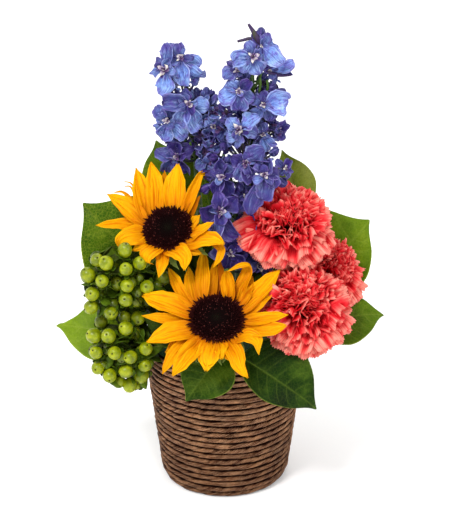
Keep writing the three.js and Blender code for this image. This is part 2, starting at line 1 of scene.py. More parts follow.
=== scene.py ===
import json
import math
import bpy
import numpy as np
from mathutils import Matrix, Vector

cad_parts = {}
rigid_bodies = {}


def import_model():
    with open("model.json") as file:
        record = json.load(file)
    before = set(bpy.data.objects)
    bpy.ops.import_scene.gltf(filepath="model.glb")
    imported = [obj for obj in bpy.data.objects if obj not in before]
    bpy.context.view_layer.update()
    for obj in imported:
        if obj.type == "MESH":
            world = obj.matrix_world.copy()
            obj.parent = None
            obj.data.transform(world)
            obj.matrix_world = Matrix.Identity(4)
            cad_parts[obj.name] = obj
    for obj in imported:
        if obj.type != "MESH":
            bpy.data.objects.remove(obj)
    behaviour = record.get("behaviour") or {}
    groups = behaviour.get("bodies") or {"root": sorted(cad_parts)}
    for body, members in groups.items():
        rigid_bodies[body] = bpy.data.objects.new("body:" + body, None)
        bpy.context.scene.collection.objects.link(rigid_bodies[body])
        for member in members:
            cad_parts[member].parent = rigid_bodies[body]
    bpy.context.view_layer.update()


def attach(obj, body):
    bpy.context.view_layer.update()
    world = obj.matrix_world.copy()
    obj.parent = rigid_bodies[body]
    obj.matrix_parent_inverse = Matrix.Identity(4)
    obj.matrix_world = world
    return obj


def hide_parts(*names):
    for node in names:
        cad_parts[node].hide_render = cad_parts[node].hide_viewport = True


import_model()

# A flower arrangement in a coiled-rope basket. Every length here is in millimetres until a mesh is made.
MM = 0.001
V3 = lambda *a: np.array(a, float)


def unit(v):
    v = np.asarray(v, float)
    return v / np.maximum(np.linalg.norm(v, axis=-1, keepdims=True), 1e-9)


def smooth(x):
    x = np.clip(x, 0, 1)
    return x * x * (3 - 2 * x)


def wobble(rng, count=4, low=0.6, high=3.0):
    """A gentle wandering function of one variable, between about -1 and 1."""
    k = rng.uniform(low, high, count)
    p = rng.uniform(0, 2 * math.pi, count)
    a = rng.uniform(0.5, 1, count)
    a /= a.sum()
    return lambda x: sum(a[i] * np.sin(k[i] * np.asarray(x, float) + p[i]) for i in range(count))


def crinkle(rng, count=7, low=0.25, high=1.0):
    """A crumpled surface's height over a plane, between about -1 and 1: many small waves that run every way."""
    k = rng.uniform(low, high, count)
    a = rng.uniform(0, 2 * math.pi, count)
    p = rng.uniform(0, 2 * math.pi, count)
    g = rng.uniform(0.5, 1, count)
    g /= g.sum()

    def height(x, y):
        out = 0
        for i in range(count):
            w = np.sin(k[i] * (x * math.cos(a[i]) + y * math.sin(a[i])) + p[i])
            out = out + g[i] * (1 - 1.7 * np.abs(w) if i % 2 else w)
        return out
    return height


def catmull(points, n, t0=0.0):
    """A smooth curve through the points, n samples."""
    p = np.array(points, float)
    if len(p) == 2:
        return p[0] + (p[1] - p[0]) * np.linspace(t0, 1, n)[:, None]
    p = np.vstack([2 * p[0] - p[1], p, 2 * p[-1] - p[-2]])
    seg = len(p) - 3
    out = []
    for s in np.linspace(t0, 1, n) * seg:
        i = min(int(s), seg - 1)
        t = s - i
        a, b, c, d = p[i:i + 4]
        k = [0.0]
        for q, r in ((a, b), (b, c), (c, d)):
            k.append(k[-1] + max(np.linalg.norm(r - q), 1e-6) ** 0.5)
        t = k[1] + t * (k[2] - k[1])
        a1 = (k[1] - t) / (k[1] - k[0]) * a + (t - k[0]) / (k[1] - k[0]) * b
        a2 = (k[2] - t) / (k[2] - k[1]) * b + (t - k[1]) / (k[2] - k[1]) * c
        a3 = (k[3] - t) / (k[3] - k[2]) * c + (t - k[2]) / (k[3] - k[2]) * d
        b1 = (k[2] - t) / (k[2] - k[0]) * a1 + (t - k[0]) / (k[2] - k[0]) * a2
        b2 = (k[3] - t) / (k[3] - k[1]) * a2 + (t - k[1]) / (k[3] - k[1]) * a3
        out.append((k[2] - t) / (k[2] - k[1]) * b1 + (t - k[1]) / (k[2] - k[1]) * b2)
    return np.array(out)


def even(path, n):
    """The same curve with n points evenly spaced along it."""
    p = np.asarray(path, float)
    s = np.concatenate([[0], np.cumsum(np.linalg.norm(np.diff(p, axis=0), axis=1))])
    k = np.linspace(0, s[-1], n)
    return np.stack([np.interp(k, s, p[:, i]) for i in range(3)], 1)


class Frame:
    """A place with its own axes: z the way it faces, x level, y up the face."""

    def __init__(self, c, n, roll=0.0):
        self.c = np.array(c, float)
        self.z = unit(n)
        x = np.cross([0, 0, 1.0], self.z)
        x = unit(x) if np.linalg.norm(x) > 1e-6 else V3(1, 0, 0)
        y = np.cross(self.z, x)
        co, si = math.cos(roll), math.sin(roll)
        self.x, self.y = x * co + y * si, y * co - x * si

    def at(self, p):
        p = np.asarray(p, float)
        return self.c + p[..., :1] * self.x + p[..., 1:2] * self.y + p[..., 2:3] * self.z

    def dir(self, p):
        p = np.asarray(p, float)
        return p[..., :1] * self.x + p[..., 1:2] * self.y + p[..., 2:3] * self.z


# ---------------------------------------------------------------- meshes
class Build:
    """Collects closed surfaces into one mesh. Each point carries four numbers that its material reads."""

    def __init__(self):
        self.v, self.c, self.q, self.t = [], [], [], []
        self.qm, self.tm, self.qs, self.ts = [], [], [], []
        self.n = 0

    def add(self, v, c, quads=None, tris=None, mat=0, quad_smooth=None, tri_smooth=True):
        v = np.asarray(v, float).reshape(-1, 3)
        c = np.asarray(c, float)
        c = np.broadcast_to(c, (len(v), 4)) if c.ndim == 1 else c.reshape(-1, 4)
        self.v.append(v)
        self.c.append(c)
        if quads is not None and len(quads):
            q = np.asarray(quads, int)
            self.q.append(q + self.n)
            self.qm.append(np.full(len(q), mat))
            self.qs.append(np.ones(len(q), bool) if quad_smooth is None else np.asarray(quad_smooth, bool))
        if tris is not None and len(tris):
            t = np.asarray(tris, int)
            self.t.append(t + self.n)
            self.tm.append(np.full(len(t), mat))
            self.ts.append(np.full(len(t), tri_smooth))
        self.n += len(v)

    def sheet(self, p, c, thick=0.35, mat=0, taper=0.55):
        """A thin closed shell round the middle surface p[along, across]."""
        p = np.asarray(p, float)
        nv, nu = p.shape[:2]
        n = np.cross(np.gradient(p, axis=1), np.gradient(p, axis=0))
        length = np.linalg.norm(n, axis=2, keepdims=True)
        n = n / np.maximum(length, 1e-9)
        n[0] = np.where(length[0] < 1e-4, n[1], n[0])
        n[-1] = np.where(length[-1] < 1e-4, n[-2], n[-1])
        t = np.full((nv, nu, 1), thick / 2)
        t[:, 0] *= taper
        t[:, -1] *= taper
        t[-1] *= taper
        top, bottom = p + n * t, p - n * t
        i = np.arange(nv * nu).reshape(nv, nu)
        a, b, d, e = i[:-1, :-1].ravel(), i[:-1, 1:].ravel(), i[1:, 1:].ravel(), i[1:, :-1].ravel()
        m = nv * nu
        up = np.stack([a, b, d, e], 1)
        down = np.stack([e, d, b, a], 1) + m
        ring = np.concatenate([i[0, :-1], i[:-1, -1], i[-1, :0:-1], i[:0:-1, 0]])
        nxt = np.roll(ring, -1)
        rim = np.stack([ring + m, nxt + m, nxt, ring], 1)
        c = np.broadcast_to(np.asarray(c, float), (nv, nu, 4)).reshape(-1, 4)
        flags = np.concatenate([np.ones(len(up) + len(down), bool), np.zeros(len(rim), bool)])
        self.add(np.concatenate([top.reshape(-1, 3), bottom.reshape(-1, 3)]), np.concatenate([c, c]), np.concatenate([up, down, rim]), mat=mat, quad_smooth=flags)

    def tube(self, path, radius, c, sides=10, mat=0, shape=None):
        """A round bar with closed ends along the path. shape multiplies the radius by place and turn."""
        p = np.asarray(path, float)
        n = len(p)
        t = unit(np.gradient(p, axis=0))
        r = np.broadcast_to(np.asarray(radius, float), (n,))
        u = np.cross(t[0], [0, 0, 1.0])
        if np.linalg.norm(u) < 0.1:
            u = np.cross(t[0], [0, 1.0, 0])
        u = unit(u)
        a = np.arange(sides) * 2 * math.pi / sides
        rings = []
        for k in range(n):
            u = unit(u - (u @ t[k]) * t[k])
            w = np.cross(t[k], u)
            rr = r[k] * (shape[k] if shape is not None else 1)
            rings.append(p[k] + (np.cos(a)[:, None] * u + np.sin(a)[:, None] * w) * np.broadcast_to(rr, (sides,))[:, None])
        v = np.concatenate([np.array(rings).reshape(-1, 3), p[:1] - t[:1] * r[0] * 0.3, p[-1:] + t[-1:] * r[-1] * 0.3])
        i = np.arange(n * sides).reshape(n, sides)
        j = np.roll(i, -1, axis=1)
        q = np.stack([i[:-1].ravel(), j[:-1].ravel(), j[1:].ravel(), i[1:].ravel()], 1)
        s, e = n * sides, n * sides + 1
        tri = np.concatenate([np.stack([j[0], i[0], np.full(sides, s)], 1), np.stack([i[-1], j[-1], np.full(sides, e)], 1)])
        c = np.asarray(c, float)
        if c.ndim == 2:
            c = np.concatenate([np.repeat(c, sides, axis=0), c[:1], c[-1:]])
        self.add(v, c, q, tri, mat)

    def ball(self, f, radius, c, rows=10, sides=14, mat=0, shape=None):
        """A closed round body about the frame's origin. shape(polar, turn) multiplies the radius and may be stretched along z."""
        th = np.linspace(0, math.pi, rows + 1)[1:-1][:, None]
        ph = (np.arange(sides) * 2 * math.pi / sides)[None, :]
        th, ph = np.broadcast_arrays(th, ph)
        r = radius * (shape(th, ph) if shape else np.ones(th.shape))
        p = np.stack([r * np.sin(th) * np.cos(ph), r * np.sin(th) * np.sin(ph), r * np.cos(th)], -1)
        r0 = radius * (float(shape(np.zeros((1, 1)), np.zeros((1, 1)))[0, 0]) if shape else 1)
        r1 = radius * (float(shape(np.full((1, 1), math.pi), np.zeros((1, 1)))[0, 0]) if shape else 1)
        v = f.at(np.concatenate([p.reshape(-1, 3), [[0, 0, r0], [0, 0, -r1]]]))
        i = np.arange((rows - 1) * sides).reshape(rows - 1, sides)
        j = np.roll(i, -1, axis=1)
        q = np.stack([i[1:].ravel(), j[1:].ravel(), j[:-1].ravel(), i[:-1].ravel()], 1)
        m = (rows - 1) * sides
        tri = np.concatenate([np.stack([i[0], j[0], np.full(sides, m)], 1), np.stack([j[-1], i[-1], np.full(sides, m + 1)], 1)])
        if callable(c):
            c = c(np.concatenate([th.ravel(), [0, math.pi]]), np.concatenate([ph.ravel(), [0, 0]]))
        self.add(v, c, q, tri, mat)

    def lathe(self, f, profile, c, sides=48, mat=0, shape=None):
        """A closed body of revolution about the frame's z. The profile runs [radius, height] from the lower axis point to the upper one."""
        pr = np.array(profile, float)
        a = np.arange(sides) * 2 * math.pi / sides
        body = pr[1:-1]
        r = np.repeat(body[:, :1], sides, 1)
        z = np.repeat(body[:, 1:], sides, 1)
        if shape is not None:
            r, z = shape(r, z, np.broadcast_to(a, r.shape))
        p = np.stack([r * np.cos(a), r * np.sin(a), z], -1).reshape(-1, 3)
        v = f.at(np.concatenate([p, [[0, 0, pr[0, 1]], [0, 0, pr[-1, 1]]]]))
        k = len(body)
        i = np.arange(k * sides).reshape(k, sides)
        j = np.roll(i, -1, axis=1)
        q = np.stack([i[:-1].ravel(), j[:-1].ravel(), j[1:].ravel(), i[1:].ravel()], 1)
        s, e = k * sides, k * sides + 1
        tri = np.concatenate([np.stack([j[0], i[0], np.full(sides, s)], 1), np.stack([i[-1], j[-1], np.full(sides, e)], 1)])
        self.add(v, c, q, tri, mat)

    def mesh(self, name, materials):
        v = np.concatenate(self.v) * MM
        c = np.concatenate(self.c)
        q = np.concatenate(self.q) if self.q else np.zeros((0, 4), int)
        t = np.concatenate(self.t) if self.t else np.zeros((0, 3), int)
        me = bpy.data.meshes.new(name)
        me.vertices.add(len(v))
        me.vertices.foreach_set("co", v.astype(np.float32).ravel())
        me.loops.add(q.size + t.size)
        me.loops.foreach_set("vertex_index", np.concatenate([q.ravel(), t.ravel()]).astype(np.int32))
        me.polygons.add(len(q) + len(t))
        me.polygons.foreach_set("loop_start", np.concatenate([np.arange(len(q)) * 4, q.size + np.arange(len(t)) * 3]).astype(np.int32))
        me.update(calc_edges=True)
        me.polygons.foreach_set("material_index", np.concatenate(self.qm + self.tm).astype(np.int32))
        me.polygons.foreach_set("use_smooth", np.concatenate(self.qs + self.ts))
        col = me.color_attributes.new("Col", "FLOAT_COLOR", "POINT")
        col.data.foreach_set("color", c.astype(np.float32).ravel())
        for m in materials:
            me.materials.append(m)
        me.validate()
        me.update()
        ob = bpy.data.objects.new(name, me)
        bpy.context.scene.collection.objects.link(ob)
        return ob


def piece(name, build, materials, slot, *nodes):
    ob = build.mesh(name, materials)
    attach(ob, "root")
    if nodes:
        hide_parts(*nodes)
    return ob


# ---------------------------------------------------------------- materials
def lin(*rgb):
    """A colour on the 0-255 screen scale as the linear one that shaders use."""
    return tuple((x / 255 / 12.92 if x <= 10.31 else ((x / 255 + 0.055) / 1.055) ** 2.4) for x in rgb) + (1.0,)


class Mat:
    """A procedural material: a Principled shader, and short calls for the nodes that feed it."""

    def __init__(self, name, roughness=0.5, **fixed):
        self.m = bpy.data.materials.new(name)
        self.m.use_nodes = True
        self.t = self.m.node_tree
        self.s = next(n for n in self.t.nodes if n.type == "BSDF_PRINCIPLED")
        self.s.inputs["Roughness"].default_value = roughness
        for k, v in fixed.items():
            self.s.inputs[k.replace("_", " ")].default_value = v
        self.attr = None

    def node(self, kind, **props):
        n = self.t.nodes.new(kind)
        for k, v in props.items():
            setattr(n, k, v)
        return n

    def put(self, socket, value):
        if isinstance(value, bpy.types.NodeSocket):
            self.t.links.new(value, socket)
        else:
            socket.default_value = value

    def col(self, i):
        """One of the four numbers that each point carries."""
        if self.attr is None:
            a = self.node("ShaderNodeAttribute", attribute_name="Col")
            s = self.node("ShaderNodeSeparateColor")
            self.t.links.new(a.outputs["Color"], s.inputs[0])
            self.attr = [s.outputs[0], s.outputs[1], s.outputs[2], a.outputs["Alpha"]]
        return self.attr[i]

    def math(self, op, a, b=0.5, c=None):
        n = self.node("ShaderNodeMath", operation=op)
        self.put(n.inputs[0], a)
        self.put(n.inputs[1], b)
        if c is not None:
            self.put(n.inputs[2], c)
        return n.outputs[0]

    def vec(self, x, y, z):
        n = self.node("ShaderNodeCombineXYZ")
        for i, v in enumerate((x, y, z)):
            self.put(n.inputs[i], v)
        return n.outputs[0]

    def place(self, sx=1.0, sy=None, sz=None):
        """Object coordinates in metres, scaled."""
        tc = self.node("ShaderNodeTexCoord")
        mp = self.node("ShaderNodeMapping")
        mp.inputs["Scale"].default_value = (sx, sx if sy is None else sy, sx if sz is None else sz)
        self.t.links.new(tc.outputs["Object"], mp.inputs["Vector"])
        return mp.outputs[0]

    def noise(self, vector, scale=1.0, detail=3.0, rough=0.55, distort=0.0):
        n = self.node("ShaderNodeTexNoise")
        self.put(n.inputs["Vector"], vector)
        n.inputs["Scale"].default_value = scale
        n.inputs["Detail"].default_value = detail
        n.inputs["Roughness"].default_value = rough
        n.inputs["Distortion"].default_value = distort
        return n.outputs["Fac"]

    def ramp(self, fac, stops):
        n = self.node("ShaderNodeValToRGB")
        e = n.color_ramp.elements
        while len(e) < len(stops):
            e.new(0.5)
        for k, (pos, colour) in enumerate(stops):
            e[k].position = pos
            e[k].color = colour if len(colour) == 4 else (*colour, 1)
        self.put(n.inputs[0], fac)
        return n.outputs[0]

    def grey(self, fac, stops):
        return self.ramp(fac, [(p, (v, v, v, 1)) for p, v in stops])

    def mix(self, fac, a, b, blend="MIX"):
        n = self.node("ShaderNodeMix", data_type="RGBA", blend_type=blend)
        self.put(n.inputs[0], fac)
        self.put(n.inputs[6], a)
        self.put(n.inputs[7], b)
        return n.outputs[2]

    def bump(self, height, strength=0.3, distance=0.0005, normal=None):
        n = self.node("ShaderNodeBump")
        n.inputs["Strength"].default_value = strength
        n.inputs["Distance"].default_value = distance
        self.put(n.inputs["Height"], height)
        if normal is not None:
            self.put(n.inputs["Normal"], normal)
        return n.outputs[0]

    def finish(self, colour, roughness=None, normal=None):
        self.put(self.s.inputs["Base Color"], colour)
        if roughness is not None:
            self.put(self.s.inputs["Roughness"], roughness)
        if normal is not None:
            self.put(self.s.inputs["Normal"], normal)
        return self.m


def rope_material():
    m = Mat("twisted_paper", 0.62, Specular_IOR_Level=0.05)
    fibre = m.noise(m.vec(m.math("MULTIPLY", m.col(0), 0.5), m.math("MULTIPLY", m.col(1), 4.2), m.math("MULTIPLY", m.col(2), 4.2)), 2.2, 5, 0.62, 0.5)
    fine = m.noise(m.vec(m.math("MULTIPLY", m.col(0), 2.6), m.math("MULTIPLY", m.col(1), 11), m.math("MULTIPLY", m.col(2), 11)), 2.0, 4, 0.65)
    patch = m.noise(m.vec(m.math("MULTIPLY", m.col(0), 0.5), m.math("MULTIPLY", m.col(1), 0.8), m.math("MULTIPLY", m.col(2), 0.8)), 1.5, 3, 0.6)
    ply = m.math("MULTIPLY", m.math("GREATER_THAN", m.col(2), 0.0), 23.0)
    tone = m.noise(m.vec(m.math("MULTIPLY", m.col(0), 0.85), ply, m.math("MULTIPLY", m.col(1), 0.5)), 1.0, 3, 0.6)
    blot = m.noise(m.place(46), 1.0, 3, 0.6)
    height = m.node("ShaderNodeSeparateXYZ")
    m.t.links.new(m.place(), height.inputs[0])
    body = m.ramp(patch, [(0.3, lin(62, 26, 8)), (0.42, lin(108, 61, 36)), (0.52, lin(162, 103, 65)), (0.6, lin(90, 43, 33)), (0.72, lin(186, 127, 84))])
    body = m.mix(m.grey(tone, [(0.48, 0.0), (0.6, 0.9)]), body, lin(220, 160, 114))
    body = m.mix(m.grey(tone, [(0.38, 0.85), (0.49, 0.0)]), body, lin(50, 17, 4))
    body = m.mix(m.grey(blot, [(0.48, 0.0), (0.6, 0.7)]), body, lin(72, 31, 27))
    body = m.mix(m.grey(fibre, [(0.47, 0.0), (0.6, 0.95)]), body, lin(246, 190, 146))
    body = m.mix(m.grey(fine, [(0.4, 0.7), (0.54, 0.0)]), body, lin(42, 10, 0))
    # darker towards the bottom of the basket: painted shade
    body = m.mix(m.grey(height.outputs[2], [(0.0, 0.5), (0.03, 0.36), (0.075, 0.04)]), body, lin(46, 12, 0))
    # the fourth number is painted shade: near black in the grooves between the turns
    body = m.mix(m.grey(m.col(3), [(0.26, 1.0), (0.74, 0.0)]), body, lin(28, 5, 0))
    n = m.bump(fine, 0.8, 0.0008)
    n = m.bump(fibre, 0.7, 0.0013, n)
    return m.finish(body, m.grey(fine, [(0.3, 0.42), (0.7, 0.68)]), n)


def ray_material(name, shade):
    m = Mat(name, 0.55, Subsurface_Weight=0.06, Subsurface_Scale=0.002, Specular_IOR_Level=0.05)
    m.s.inputs["Subsurface Radius"].default_value = (1.0, 0.45, 0.05)
    streak = m.noise(m.vec(m.math("MULTIPLY", m.col(0), 1.2), m.math("MULTIPLY", m.col(1), 8), m.math("MULTIPLY", m.col(2), 31)), 1.6, 4, 0.6)
    fine = m.noise(m.vec(m.math("MULTIPLY", m.col(0), 2.0), m.math("MULTIPLY", m.col(1), 24), m.math("MULTIPLY", m.col(2), 31)), 1.6, 3, 0.6)
    along = m.math("ADD", m.col(0), m.math("MULTIPLY", m.math("SUBTRACT", streak, 0.5), 0.4))
    blotch = m.noise(m.place(120), 1.0, 3, 0.55)
    c = m.ramp(along, [(0.0, lin(168, 76, 0)), (0.16, lin(198, 116, 0)), (0.42, lin(222, 149, 0)), (0.9, lin(236, 170, 3))])
    c = m.mix(m.grey(streak, [(0.38, 0.75), (0.5, 0.0)]), c, lin(200, 104, 0))
    c = m.mix(m.grey(blotch, [(0.5, 0.0), (0.68, 0.35)]), c, lin(222, 134, 0))
    c = m.mix(m.grey(fine, [(0.56, 0.0), (0.72, 0.3)]), c, lin(248, 194, 48))
    # the fourth number is painted shade: the shade colour for rays that lie behind others and for the valleys between
    # their ribs
    c = m.mix(m.col(3), c, lin(*shade))
    n = m.bump(fine, 0.4, 0.0004, m.bump(streak, 0.6, 0.0008))
    return m.finish(c, m.grey(streak, [(0.3, 0.48), (0.7, 0.62)]), n)


def disc_material():
    m = Mat("sunflower_disc", 0.8, Specular_IOR_Level=0.06)
    spot = m.noise(m.place(900), 1.0, 3, 0.6)
    c = m.ramp(m.col(0), [(0.0, lin(24, 26, 14)), (0.2, lin(12, 6, 4)), (0.5, lin(20, 3, 4)), (0.85, lin(36, 6, 6)), (1.0, lin(56, 14, 6))])
    c = m.mix(m.grey(m.col(1), [(0.5, 0.0), (1.0, 0.8)]), c, lin(120, 62, 56))
    c = m.mix(m.grey(spot, [(0.58, 0.0), (0.75, 0.3)]), c, lin(58, 22, 26))
    return m.finish(c, 0.8, m.bump(spot, 0.4, 0.0003))


def green_material(name, dark, mid, light, roughness=0.55, hairy=0.0):
    m = Mat(name, roughness, Sheen_Weight=hairy, Specular_IOR_Level=0.12)
    n1 = m.noise(m.place(90, 90, 30), 1.0, 4, 0.6)
    n2 = m.noise(m.place(700, 700, 120), 1.0, 3, 0.6)
    c = m.ramp(n1, [(0.3, lin(*dark)), (0.52, lin(*mid)), (0.75, lin(*light))])
    c = m.mix(m.math("MULTIPLY", m.col(3), 0.6), c, lin(*light))
    c = m.mix(m.grey(n2, [(0.35, 0.4), (0.55, 0.0)]), c, lin(*dark))
    return m.finish(c, m.grey(n2, [(0.3, roughness - 0.1), (0.7, roughness + 0.1)]), m.bump(n2, 0.35, 0.0003))


def carnation_material():
    m = Mat("carnation_petal", 0.65, Subsurface_Weight=0.05, Subsurface_Scale=0.002, Specular_IOR_Level=0.04)
    m.s.inputs["Subsurface Radius"].default_value = (1.0, 0.2, 0.2)
    streak = m.noise(m.vec(m.math("MULTIPLY", m.col(0), 1.0), m.math("MULTIPLY", m.col(1), 16), m.math("MULTIPLY", m.col(2), 57)), 1.7, 4, 0.65)
    fine = m.noise(m.vec(m.math("MULTIPLY", m.col(0), 2.0), m.math("MULTIPLY", m.col(1), 40), m.math("MULTIPLY", m.col(2), 91)), 1.7, 3, 0.6)
    blush = m.noise(m.place(110), 1.0, 3, 0.6)
    # the fourth number is how pale a place is: high on skirt petals; high on ridges and low in the folds, a painted
    # highlight and painted shade
    pale = m.math("ADD", m.col(3), m.math("MULTIPLY", m.math("SUBTRACT", streak, 0.5), 1.3))
    pale = m.math("ADD", pale, m.math("MULTIPLY", m.math("SUBTRACT", blush, 0.5), 0.5))
    pale = m.math("ADD", pale, m.grey(m.col(0), [(0.9, 0.0), (0.985, 0.3)]))
    c = m.ramp(pale, [(0.0, lin(150, 2, 10)), (0.22, lin(194, 18, 28)), (0.46, lin(217, 43, 50)), (0.7, lin(230, 87, 82)), (1.0, lin(245, 144, 128))])
    c = m.mix(m.grey(fine, [(0.36, 0.5), (0.5, 0.0)]), c, lin(196, 20, 34))
    # darker towards the claw: painted shade deep in the flower
    c = m.mix(m.grey(m.col(0), [(0.35, 0.9), (0.72, 0.0)]), c, lin(150, 0, 10))
    n = m.bump(fine, 0.3, 0.0003, m.bump(streak, 0.5, 0.0006))
    return m.finish(c, m.grey(streak, [(0.3, 0.52), (0.7, 0.68)]), n)


def sepal_material():
    m = Mat("delphinium_sepal", 0.45, Subsurface_Weight=0.05, Subsurface_Scale=0.002, Specular_IOR_Level=0.2)
    m.s.inputs["Subsurface Radius"].default_value = (0.4, 0.3, 1.0)
    streak = m.noise(m.vec(m.math("MULTIPLY", m.col(0), 1.3), m.math("MULTIPLY", m.col(1), 7), m.math("MULTIPLY", m.col(2), 43)), 1.8, 5, 0.65, 0.4)
    fine = m.noise(m.vec(m.math("MULTIPLY", m.col(0), 2.5), m.math("MULTIPLY", m.col(1), 22), m.math("MULTIPLY", m.col(2), 61)), 1.8, 3, 0.6)
    soft = m.noise(m.place(210), 1.0, 4, 0.6)
    broad = m.noise(m.place(80), 1.0, 3, 0.55)
    edge = m.math("ABSOLUTE", m.math("SUBTRACT", m.math("MULTIPLY", m.col(1), 2.0), 1.0))
    deep = m.ramp(m.col(0), [(0.0, lin(22, 10, 42)), (0.35, lin(32, 19, 78)), (0.75, lin(44, 34, 110)), (1.0, lin(54, 34, 102))])
    sky = m.ramp(m.col(0), [(0.0, lin(96, 78, 160)), (0.3, lin(110, 142, 216)), (0.7, lin(148, 184, 244)), (1.0, lin(130, 134, 216))])
    c = m.mix(m.col(3), deep, sky)
    less = m.math("SUBTRACT", 1.0, m.math("MULTIPLY", m.col(3), 0.7))
    c = m.mix(m.math("MULTIPLY", m.grey(soft, [(0.48, 0.0), (0.64, 0.8)]), less), c, lin(78, 50, 128))
    c = m.mix(m.math("MULTIPLY", m.grey(broad, [(0.5, 0.0), (0.64, 0.6)]), less), c, lin(48, 34, 98))
    c = m.mix(m.math("MULTIPLY", m.grey(broad, [(0.3, 0.9), (0.46, 0.0)]), m.math("ADD", m.col(3), 0.1)), c, lin(112, 142, 214))
    c = m.mix(m.math("MULTIPLY", m.grey(soft, [(0.5, 0.0), (0.6, 0.7)]), m.math("MULTIPLY", m.col(3), 0.9)), c, lin(108, 88, 184))
    c = m.mix(m.math("MULTIPLY", m.grey(edge, [(0.66, 0.0), (1.0, 0.7)]), m.grey(soft, [(0.36, 0.2), (0.55, 1.0)])), c, lin(112, 84, 160))
    # pale flecks along the very edge: painted highlight
    c = m.mix(m.math("MULTIPLY", m.math("MULTIPLY", m.grey(edge, [(0.8, 0.0), (0.97, 1.0)]), m.grey(fine, [(0.48, 0.0), (0.58, 1.0)])), m.math("ADD", m.col(3), 0.3)), c, lin(168, 186, 236))
    c = m.mix(m.grey(streak, [(0.35, 0.7), (0.49, 0.0)]), c, lin(44, 34, 108))
    c = m.mix(m.math("MULTIPLY", m.grey(streak, [(0.53, 0.0), (0.67, 0.85)]), m.math("ADD", m.col(3), 0.15)), c, lin(180, 204, 244))
    c = m.mix(m.grey(fine, [(0.36, 0.45), (0.48, 0.0)]), c, lin(44, 34, 104))
    n = m.bump(fine, 0.4, 0.0003, m.bump(streak, 0.6, 0.0006))
    return m.finish(c, m.grey(streak, [(0.3, 0.42), (0.7, 0.6)]), n)


def bee_material():
    m = Mat("delphinium_centre", 0.7, Specular_IOR_Level=0.2)
    n = m.noise(m.place(1100), 1.0, 3, 0.6)
    c = m.ramp(m.col(0), [(0.0, lin(34, 18, 44)), (0.3, lin(92, 62, 112)), (0.5, lin(166, 152, 176)), (0.75, lin(216, 210, 202)), (1.0, lin(234, 228, 202))])
    c = m.mix(m.grey(n, [(0.4, 0.6), (0.52, 0.0)]), c, lin(96, 72, 112))
    return m.finish(c, 0.7, m.bump(n, 0.5, 0.0003))


def spur_material():
    m = Mat("delphinium_stalk", 0.5, Specular_IOR_Level=0.25)
    n = m.noise(m.place(220, 220, 60), 1.0, 4, 0.6)
    c = m.ramp(n, [(0.32, lin(34, 18, 46)), (0.5, lin(58, 38, 84)), (0.62, lin(66, 58, 62)), (0.78, lin(66, 78, 40))])
    c = m.mix(m.col(3), c, lin(70, 100, 34))
    return m.finish(c, m.grey(n, [(0.3, 0.42), (0.7, 0.6)]), m.bump(n, 0.3, 0.0003))


def leaf_material(name, dark, mid, light, vein, roughness, net, cell=420, gloss=0.4):
    m = Mat(name, roughness, Specular_IOR_Level=gloss)
    big = m.noise(m.place(38), 1.0, 4, 0.6)
    pore = m.noise(m.place(900), 1.0, 3, 0.6)
    cells = m.node("ShaderNodeTexVoronoi", feature="DISTANCE_TO_EDGE")
    m.put(cells.inputs["Vector"], m.place(cell))
    cells.inputs["Scale"].default_value = 1.0
    lines = m.grey(cells.outputs["Distance"], [(0.0, 1.0), (0.12, 0.0)])
    c = m.ramp(big, [(0.3, lin(*dark)), (0.5, lin(*mid)), (0.72, lin(*light))])
    c = m.mix(m.math("MULTIPLY", lines, net), c, lin(*vein))
    c = m.mix(m.grey(big, [(0.56, 0.0), (0.7, 0.25)]), c, lin(*vein))
    c = m.mix(m.math("MULTIPLY", m.col(2), 0.5), c, lin(*vein))
    c = m.mix(m.math("MULTIPLY", m.col(3), 0.85), c, lin(min(vein[0] + 20, 255), min(vein[1] + 15, 255), vein[2] + 10))
    c = m.mix(m.grey(pore, [(0.35, 0.35), (0.55, 0.0)]), c, lin(*dark))
    n = m.bump(m.math("ADD", m.math("MULTIPLY", lines, -0.5), pore), 0.35, 0.0003)
    return m.finish(c, m.grey(pore, [(0.3, roughness - 0.08), (0.7, roughness + 0.1)]), n)


def berry_material():
    m = Mat("hypericum_berry", 0.3, Subsurface_Weight=0.08, Subsurface_Scale=0.002, Specular_IOR_Level=0.3, Coat_Weight=0.1, Coat_Roughness=0.18)
    m.s.inputs["Subsurface Radius"].default_value = (0.6, 1.0, 0.1)
    n = m.noise(m.place(210), 1.0, 4, 0.55)
    pore = m.noise(m.place(1500), 1.0, 2, 0.5)
    fresh = m.ramp(n, [(0.3, lin(98, 110, 2)), (0.5, lin(132, 144, 4)), (0.72, lin(168, 174, 22))])
    # darker olive colour: partly real age that varies at random, partly painted shade for berries deep in the cluster
    # and the small ones inside it
    age_and_shade = m.ramp(n, [(0.3, lin(46, 60, 4)), (0.5, lin(72, 88, 8)), (0.75, lin(106, 116, 18))])
    c = m.mix(m.col(1), fresh, age_and_shade)
    c = m.mix(m.grey(m.col(0), [(0.0, 0.9), (0.07, 0.0)]), c, lin(44, 40, 8))
    # darker towards the stalk end: painted shade
    c = m.mix(m.grey(m.col(0), [(0.7, 0.0), (1.0, 0.6)]), c, lin(70, 96, 16))
    return m.finish(c, m.grey(pore, [(0.3, 0.3), (0.7, 0.42)]), m.bump(pore, 0.12, 0.0002))


def foam_material():
    m = Mat("floral_foam", 0.95)
    n1 = m.noise(m.place(900), 1.0, 4, 0.7)
    n2 = m.noise(m.place(120), 1.0, 4, 0.6)
    c = m.ramp(n2, [(0.3, lin(28, 62, 36)), (0.55, lin(44, 92, 52)), (0.75, lin(60, 110, 64))])
    c = m.mix(m.grey(n1, [(0.4, 0.7), (0.55, 0.0)]), c, lin(18, 42, 26))
    return m.finish(c, 0.95, m.bump(n1, 0.9, 0.0012))


